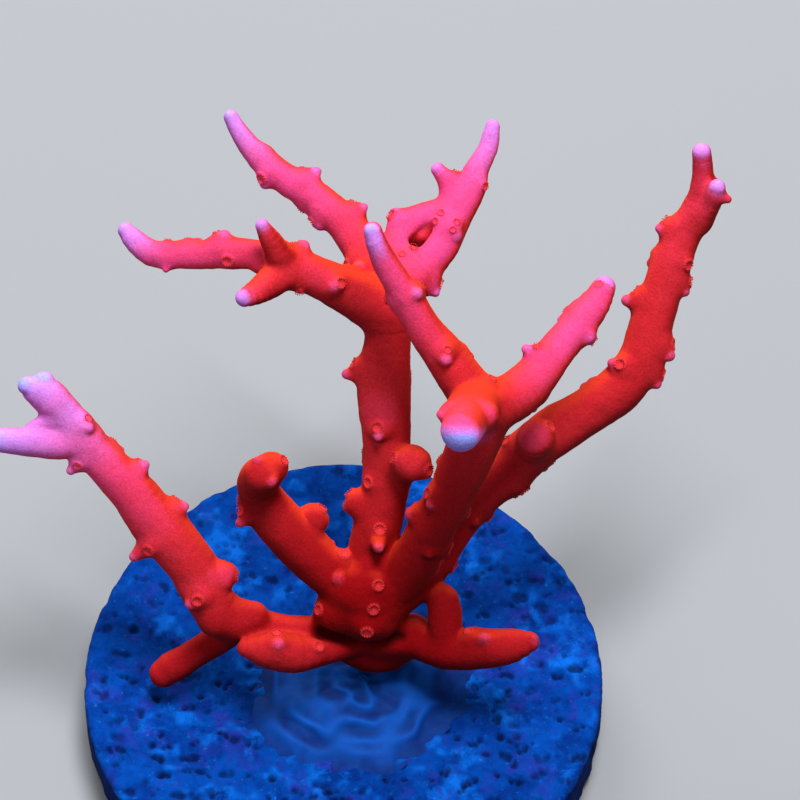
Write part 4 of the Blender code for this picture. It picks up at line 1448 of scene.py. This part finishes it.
    def build(self) -> None:
        """Make one closed piece of skin for each branch."""
        self.plan()
        places, outward, quads, tissue, polyp = self.shape()
        labels = self.label(places, quads)
        whole = mesh_object("whole_skin", places, quads.tolist())
        normals = np.empty(len(places) * 3, np.float32)
        whole.data.vertices.foreach_get("normal", normals)
        normals = normals.reshape(-1, 3)
        drop(whole)
        if (normals * outward).sum() < 0.0:
            quads = quads[:, ::-1]
            normals = -normals
        for number, (name, branch) in enumerate(BRANCHES.items()):
            own = quads[labels == number]
            used, compact = np.unique(own, return_inverse=True)
            compact = compact.reshape(own.shape)
            verts = places[used]
            faces = compact.tolist()
            extra_verts, extra_source = [], []
            for loop in self.rims(compact):
                sunk = verts[loop] - outward[used][loop] * self.wall_inset
                inner = len(used) + len(extra_verts)
                hub = inner + len(loop)
                extra_verts += [*sunk, sunk.mean(axis=0)]
                extra_source += [*loop, loop[0]]
                for i, a in enumerate(loop):
                    j = (i + 1) % len(loop)
                    faces += [(loop[j], a, inner + i, inner + j), (inner + j, inner + i, hub)]
            source = np.concatenate((np.arange(len(used)), extra_source)).astype(int)
            if extra_verts:
                verts = np.vstack((verts, extra_verts))
            piece = mesh_object(f"skin_of_{name}", verts, faces)
            piece.data.shade_smooth()
            # tissue carries pinkness and paleness, partly painted light, and the painted shade
            store(piece.data, "tissue", tissue[used][source])
            store(piece.data, "polyp", polyp[used][source])
            piece.data.normals_split_custom_set_from_vertices(normals[used][source].tolist())
            self.pieces.append((piece, name, branch.slot))
            LOG.info("%s: %d faces", piece.name, len(faces))

    def crown_tree(self, material: bpy.types.Material) -> bpy.types.NodeTree:
        """Build the tree that sets a crown of short tentacles on every polyp.

        Args:
            material: What the tentacles are made of.

        Returns:
            The tree, with its sizes as named inputs.
        """
        tree = bpy.data.node_groups.new("crown_of_tentacles", "GeometryNodeTree")
        for name, kind in (("Geometry", "Geometry"), ("Crown Radius", "Float"),
                           ("Stub Radius", "Float"), ("Stub Height", "Float"),
                           ("Stubs", "Int"), ("Seed", "Int")):
            tree.interface.new_socket(name, in_out="INPUT", socket_type=f"NodeSocket{kind}")
        tree.interface.new_socket("Geometry", in_out="OUTPUT",
                                  socket_type="NodeSocketGeometry")
        add = partial(add_node, tree)
        given = add("NodeGroupInput").outputs
        ring = add("GeometryNodeMeshCircle",
                   {"Vertices": given["Stubs"], "Radius": given["Crown Radius"]})
        lean = add("ShaderNodeVectorMath", {0: add("GeometryNodeInputPosition")},
                   operation="NORMALIZE")
        lean = add("ShaderNodeVectorMath", {0: lean, 1: (0.0, 0.0, self.stub_lean)},
                   operation="ADD")
        facing, scale = (add("GeometryNodeInputNamedAttribute", {"Name": name},
                             data_type="FLOAT_VECTOR") for name in ("facing", "scale"))
        tilt, turned = (add("FunctionNodeAlignRotationToVector", {"Vector": way}, axis="Z")
                        for way in (lean, facing))
        bead = add("GeometryNodeMeshIcoSphere", {"Radius": 1.0, "Subdivisions": 1})
        size = add("ShaderNodeCombineXYZ", {0: given["Stub Radius"], 1: given["Stub Radius"],
                                            2: given["Stub Height"]})
        vary = add("FunctionNodeRandomValue",
                   {2: self.stub_least, 3: self.stub_most, "Seed": given["Seed"]},
                   data_type="FLOAT")
        grown = add("ShaderNodeVectorMath", {0: size, "Scale": vary}, operation="SCALE")
        crown = add("GeometryNodeInstanceOnPoints",
                    {"Points": ring, "Instance": bead, "Rotation": tilt, "Scale": grown})
        points = add("GeometryNodeMeshToPoints", {"Mesh": given["Geometry"]})
        set_out = add("GeometryNodeInstanceOnPoints",
                      {"Points": points, "Instance": crown, "Rotation": turned, "Scale": scale})
        real = add("GeometryNodeRealizeInstances", {0: set_out})
        smooth = add("GeometryNodeSetShadeSmooth", {0: real})
        dressed = add("GeometryNodeSetMaterial", {"Geometry": smooth, "Material": material})
        add("NodeGroupOutput", {0: dressed})
        return tree

    def crowns(self) -> bpy.types.Object:
        """Set the crowns of tentacles on the polyps, in one plain mesh.

        Returns:
            The piece.
        """
        middles = np.array([one.middle + one.facing * (self.ring_height * 0.7)
                            for one in self.polyps])
        crowns = mesh_object("polyp_tentacles", middles, [])
        store(crowns.data, "facing", np.array([one.facing for one in self.polyps]))
        store(crowns.data, "scale", np.array([[one.size] * 3 for one in self.polyps]))
        tree = self.crown_tree(TentacleFlesh().build())
        modifier = crowns.modifiers.new("crowns", "NODES")
        modifier.node_group = tree
        sizes = {"Crown Radius": POLYP_RADIUS * MM, "Stub Radius": self.stub_radius * MM,
                 "Stub Height": self.stub_height * MM, "Stubs": TENTACLES,
                 "Seed": self.stub_seed}
        for item in tree.interface.items_tree:
            if item.in_out == "INPUT" and item.name in sizes:
                modifier[item.identifier] = sizes[item.name]
        bake_modifiers(crowns)
        LOG.info("%s: %d polyps, %d faces", crowns.name, len(self.polyps),
                 len(crowns.data.polygons))
        return crowns

    def dress(self) -> None:
        """Give every piece its finish, and tie it to the frame."""
        finishes = {
            Slot.RED: CoralTissue("mature_coral_tissue").build(),
            Slot.PINK: CoralTissue("growing_coral_tissue").build(),
            Slot.TIP: CoralTissue("pale_tip_coral_tissue").build(),
        }
        for piece, node, slot in self.pieces:
            piece.data.materials.append(finishes[slot])
            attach(piece, "root")
            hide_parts(node)
        crowns = self.crowns()
        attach(crowns, "root")


@dataclass
class FragDisc:
    """The round ceramic disc, porous and grown over with crust."""

    radius: float = 15.0
    thickness: float = 4.0
    top_chamfer: float = 0.5
    bottom_chamfer: float = 0.8
    # The mesh has half the sides inside each of two radii, and longer steps inside one
    ring_step: float = 0.14
    sides: int = 672
    halved_at: tuple = (7.5, 3.7)
    coarse_inside: float = 4.0
    hub_radius: float = 2.2
    # Layers of the crust's relief and of its plates: strength, cell, seed
    relief: tuple = ((0.05, 4.0, 23), (0.06, 0.8, 24))
    plates: tuple = ((1.0, 1.3, 21), (0.7, 0.5, 22))
    # Pores are made of overlapping lobes: their counts to choose from, the range of their
    # sizes, the range of the steps between them, and how far one reaches at most
    pore_count: int = 330
    pore_depth: float = 0.26
    pore_spacing: float = 0.85
    pore_lobes: tuple = (1, 1, 2, 2, 3)
    lobe_sizes: tuple = (0.13, 0.25)
    lobe_steps: tuple = (0.3, 0.5)
    lobe_reach: float = 0.6
    pore_seed: int = 5
    piece: bpy.types.Object = field(init=False)

    def outline(self) -> list:
        """List the rings of the disc, from the middle of its top round to its underside.

        Returns:
            For each ring its radius, its height, and its number of sides.
        """
        rings = []
        radius = self.radius - self.top_chamfer
        while radius > self.hub_radius:
            sides = self.sides >> sum(radius <= limit for limit in self.halved_at)
            rings.append((radius, self.thickness, sides))
            radius -= self.ring_step if radius > self.coarse_inside else 2.0 * self.ring_step
        rings.reverse()
        for turn in np.linspace(0.0, 90.0, 5)[1:]:
            angle = math.radians(turn)
            rings.append((self.radius - self.top_chamfer * (1.0 - math.sin(angle)),
                          self.thickness - self.top_chamfer * (1.0 - math.cos(angle)),
                          self.sides))
        low = self.bottom_chamfer
        high = self.thickness - self.top_chamfer
        rings += [(self.radius, height, self.sides) for height in np.linspace(high, low, 16)[1:]]
        rings += [(self.radius - low * share, low * (1.0 - share), self.sides)
                  for share in (0.5, 1.0)]
        return rings

    def build(self) -> None:
        """Make the disc's mesh, with its pores, crust and worn rim."""
        rings = self.outline()
        verts, faces, starts = [], [], []
        for radius, height, sides in rings:
            starts.append(len(verts))
            for angle in np.linspace(0.0, 2.0 * np.pi, sides, endpoint=False):
                verts.append((radius * math.cos(angle), radius * math.sin(angle), height))
        for (_, _, inner), (_, _, outer), a, b in zip(rings, rings[1:], starts, starts[1:]):
            step = outer // inner
            for i in range(inner):
                j = (i + 1) % inner
                bits = [b + (i * step + k) % outer for k in range(step + 1)]
                faces.append((a + j, a + i, *bits))
        hub, foot, last = len(verts), len(verts) + 1, starts[-1]
        verts += [(0.0, 0.0, self.thickness), (0.0, 0.0, 0.0)]
        sides = rings[0][2]
        faces += [(hub, i, (i + 1) % sides) for i in range(sides)]
        sides = rings[-1][2]
        faces += [(foot, last + (i + 1) % sides, last + i) for i in range(sides)]
        places, crust = self.weather(np.array(verts))
        self.piece = mesh_object("crusted_frag_disc", places, faces)
        work = bmesh.new()
        work.from_mesh(self.piece.data)
        bmesh.ops.recalc_face_normals(work, faces=work.faces)
        work.to_mesh(self.piece.data)
        work.free()
        self.piece.data.shade_smooth()
        store(self.piece.data, "crust", crust)
        LOG.info("%s: %d faces", self.piece.name, len(faces))

    def weather(self, places: np.ndarray) -> tuple:
        """Press pores and grow crust into the disc's surface.

        Args:
            places: Places of the vertices on the plain disc.

        Returns:
            The new places, and rows of (crust, pore, side wall) for the material, which
            paints the pores and the side wall dark as shade.
        """
        out = np.hypot(places[:, 0], places[:, 1])
        on_top = smoothstep(self.thickness - 0.7, self.thickness - 0.1, places[:, 2])
        wall = (1.0 - on_top) * (places[:, 2] > 0.01)
        plate = smoothstep(0.0, 0.9, layered_noise(places, self.plates))
        relief = layered_noise(places, self.relief)
        relief += 0.04 * value_noise(places, 0.35, 25) + 0.1 * plate - 0.12
        pores = self.pores(places)
        # Chips in the rim move it towards the middle
        chip = np.clip(value_noise(places, 0.9, 31), 0.0, 1.0) * 0.16
        chip = chip + 0.05 * np.abs(value_noise(places, 0.35, 32))
        inward = chip * smoothstep(self.radius - 1.0, self.radius - 0.4, out)
        moved = places.copy()
        moved[:, 2] += (relief - self.pore_depth * pores) * on_top
        moved[:, :2] *= (1.0 - inward / np.maximum(out, 1.0))[:, None]
        # The pores' depth and the side wall go to the material as painted shade
        return moved, np.stack((plate * on_top, pores * on_top, 0.7 * wall), axis=1)

    def pores(self, places: np.ndarray) -> np.ndarray:
        """Work out how deep the surface lies in a pore, most of them in the near half.

        Args:
            places: Places of the vertices on the plain disc.

        Returns:
            One value for each place, 0 outside the pores and up to 1 in them.
        """
        flat = places * np.array((1.0, 1.0, 0.0))
        x, y = (places[:, axis] + 0.16 * value_noise(flat, 0.5, 26 + axis) for axis in (0, 1))
        depth = np.zeros(len(places))
        rng = random.Random(self.pore_seed)
        made: list = []
        while len(made) < self.pore_count:
            angle = rng.uniform(0.0, 2.0 * math.pi)
            reach = math.sqrt(rng.random()) * (self.radius - 0.5)
            middle = (reach * math.cos(angle), reach * math.sin(angle))
            near_half = 0.5 - 0.5 * middle[1] / self.radius
            if rng.random() > 0.25 + 0.85 * near_half:
                continue
            if any(math.dist(middle, other) < self.pore_spacing for other in made):
                continue
            made.append(middle)
            strength = rng.uniform(0.55, 1.0) * (0.55 + 0.45 * near_half)
            lobe = middle
            for _ in range(rng.choice(self.pore_lobes)):
                size = rng.uniform(*self.lobe_sizes)
                near = np.flatnonzero((np.abs(x - lobe[0]) < self.lobe_reach)
                                      & (np.abs(y - lobe[1]) < self.lobe_reach))
                away = np.hypot(x[near] - lobe[0], y[near] - lobe[1]) / size
                depth[near] = np.maximum(depth[near], strength * smoothstep(1.5, 0.55, away))
                turn = rng.uniform(-0.7, 0.7) + rng.choice((0.0, math.pi))
                step = rng.uniform(*self.lobe_steps)
                lobe = (lobe[0] + step * math.cos(turn), lobe[1] + step * math.sin(turn))
        return depth

    def dress(self) -> None:
        """Give the disc its finish, and tie it to the frame."""
        self.piece.data.materials.append(FragCeramic().build())
        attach(self.piece, "root")
        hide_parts("frag_disc")


@dataclass
class GlueMound:
    """The kneaded lump of glue round the coral's foot."""

    centre: tuple = (1.0, -0.5)
    radius: float = 6.2
    base: float = 4.0
    height: float = 1.25
    fold_room: float = 0.08
    rim_sunk: float = 0.22
    underside: float = 0.3
    sides: int = 260
    rings: int = 70
    rim_ease: float = 1.35
    piece: bpy.types.Object = field(init=False)

    def build(self) -> None:
        """Make the glue's mesh, with its folds."""
        angle = np.linspace(0.0, 2.0 * np.pi, self.sides, endpoint=False)
        round_trip = np.stack((np.cos(angle), np.sin(angle), 0.0 * angle), axis=1)
        lobe = 1.04 + 0.09 * np.sin(2.0 * angle + 0.6) + 0.05 * np.cos(5.0 * angle)
        lobe = lobe + 0.05 * value_noise(round_trip, 0.22, 40)
        verts, shares = [], []
        for step in range(self.rings):
            out = 1.0 - step / self.rings
            radius = self.radius * lobe * out
            bulk = (1.0 - out ** 2) ** self.rim_ease
            x = self.centre[0] + radius * np.cos(angle)
            y = self.centre[1] + radius * np.sin(angle)
            fold = 1.0 + 0.16 * np.sin(3.0 * angle + 4.0 * out) * math.sin(math.pi * out)
            tall = self.height + self.rim_sunk - self.fold_room
            z = self.base - self.rim_sunk + tall * fold * bulk
            verts.append(np.stack((x, y, z), axis=1))
            shares.append(np.full(self.sides, out))
        low = self.base - self.underside
        verts = np.vstack([*verts, (*self.centre, self.base + self.height - self.fold_room),
                           (*self.centre, low)])
        verts[:self.sides, 2] = low
        out = np.concatenate((*shares, (0.0, 1.0)))
        faces = ring_quads(0, self.rings, self.sides)
        top = (self.rings - 1) * self.sides
        hub = self.rings * self.sides
        faces += [(top + i, top + (i + 1) % self.sides, hub) for i in range(self.sides)]
        faces += [((i + 1) % self.sides, i, hub + 1) for i in range(self.sides)]
        # Folds run round the foot, so the pattern is long that way and short across it
        around = np.concatenate((np.tile(angle, self.rings), (0.0, 0.0)))
        drift = 0.5 * value_noise(verts, 2.4, 41)
        swirl = np.stack((out * self.radius / 0.85 + drift, 1.4 * np.cos(around),
                          1.4 * np.sin(around)), axis=1)
        ridge = 1.0 - np.abs(value_noise(swirl, 1.0, 43))
        crease = smoothstep(0.4, 1.0, ridge) * smoothstep(0.98, 0.7, out)
        rise = 0.13 * crease + 0.1 * value_noise(verts, 1.2, 44)
        rise += 0.03 * value_noise(verts, 0.4, 45)
        rise = rise * smoothstep(1.0, 0.8, out)
        rise[-1] = 0.0
        verts[:, 2] += rise
        self.piece = mesh_object("folded_glue", verts, faces)
        self.piece.data.shade_smooth()
        # The crests of the folds get a painted highlight
        store(self.piece.data, "fold", np.outer(0.7 * crease, (1.0, 0.0, 0.0)))
        LOG.info("%s: %d faces", self.piece.name, len(faces))

    def dress(self) -> None:
        """Give the glue its finish, and tie it to the frame."""
        self.piece.data.materials.append(SetGlue().build())
        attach(self.piece, "root")
        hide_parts("glue_pad")


@dataclass(frozen=True)
class Softbox:
    """A soft square light: where it hangs, what it points at, its width and its watts."""

    name: str
    place: tuple
    aim: tuple
    size: float
    power: float

    def hang(self) -> None:
        """Hang the light in the scene."""
        data = bpy.data.lights.new(self.name, "AREA")
        data.size = self.size * MM
        data.energy = self.power
        lamp = bpy.data.objects.new(self.name, data)
        bpy.context.scene.collection.objects.link(lamp)
        way = Vector(self.aim) - Vector(self.place)
        lamp.location = Vector(self.place) * MM
        lamp.rotation_euler = way.to_track_quat("-Z", "Y").to_euler()


@dataclass
class Studio:
    """A pale floor, soft white lights and the camera."""

    floor_half: float = 1500.0
    floor_height: float = -0.02
    air: float = 0.2
    camera_place: tuple = (3.27, -148.3, 252.5)
    camera_tilt: float = math.radians(34.0)
    lens: float = 225.0
    sensor: float = 36.0
    clip: tuple = (0.01, 10.0)
    lights: tuple = (
        Softbox("overhead_softbox", (60.0, 62.0, 420.0), (2.0, 4.0, 12.0), 150.0, 2.55),
        Softbox("side_fill", (-300.0, -220.0, 240.0), (0.0, 6.0, 14.0), 240.0, 0.19),
        Softbox("back_fill", (-130.0, 330.0, 240.0), (0.0, 6.0, 14.0), 200.0, 1.1),
    )

    def floor(self) -> None:
        """Lay the pale floor just under the disc."""
        half, low = self.floor_half, self.floor_height
        corners = ((-half, -half, low), (half, -half, low), (half, half, low), (-half, half, low))
        floor = mesh_object("studio_floor", np.array(corners), [(0, 1, 2, 3)])
        material = bpy.data.materials.new("pale_painted_board")
        material.use_nodes = True
        shader = material.node_tree.nodes["Principled BSDF"]
        # Matt paint on board: no shine, a mid grey that shows the contact shadow
        shader.inputs["Base Color"].default_value = linear("#8C8F94")
        shader.inputs["Roughness"].default_value = 0.8
        floor.data.materials.append(material)

    def build(self) -> None:
        """Set up the floor, the lights, the air and the camera."""
        scene = bpy.context.scene
        scene.view_settings.view_transform = "Standard"
        self.floor()
        for light in self.lights:
            light.hang()
        world = bpy.data.worlds.new("studio_air")
        world.use_nodes = True
        background = world.node_tree.nodes["Background"]
        background.inputs["Color"].default_value = linear("#FFFFFF")
        background.inputs["Strength"].default_value = self.air
        scene.world = world
        data = bpy.data.cameras.new("view")
        data.lens = self.lens
        data.sensor_width = self.sensor
        data.clip_start, data.clip_end = self.clip
        camera = bpy.data.objects.new("view", data)
        scene.collection.objects.link(camera)
        camera.location = Vector(self.camera_place) * MM
        camera.rotation_euler = (self.camera_tilt, 0.0, 0.0)
        scene.camera = camera


def main() -> None:
    """Build the disc, the glue, the coral and the studio, in that order."""
    logging.basicConfig(level=logging.INFO, format="%(message)s")
    disc = FragDisc()
    disc.build()
    disc.dress()
    glue = GlueMound()
    glue.build()
    glue.dress()
    coral = CoralColony()
    coral.build()
    coral.dress()
    Studio().build()


if __name__ == "__main__":
    main()
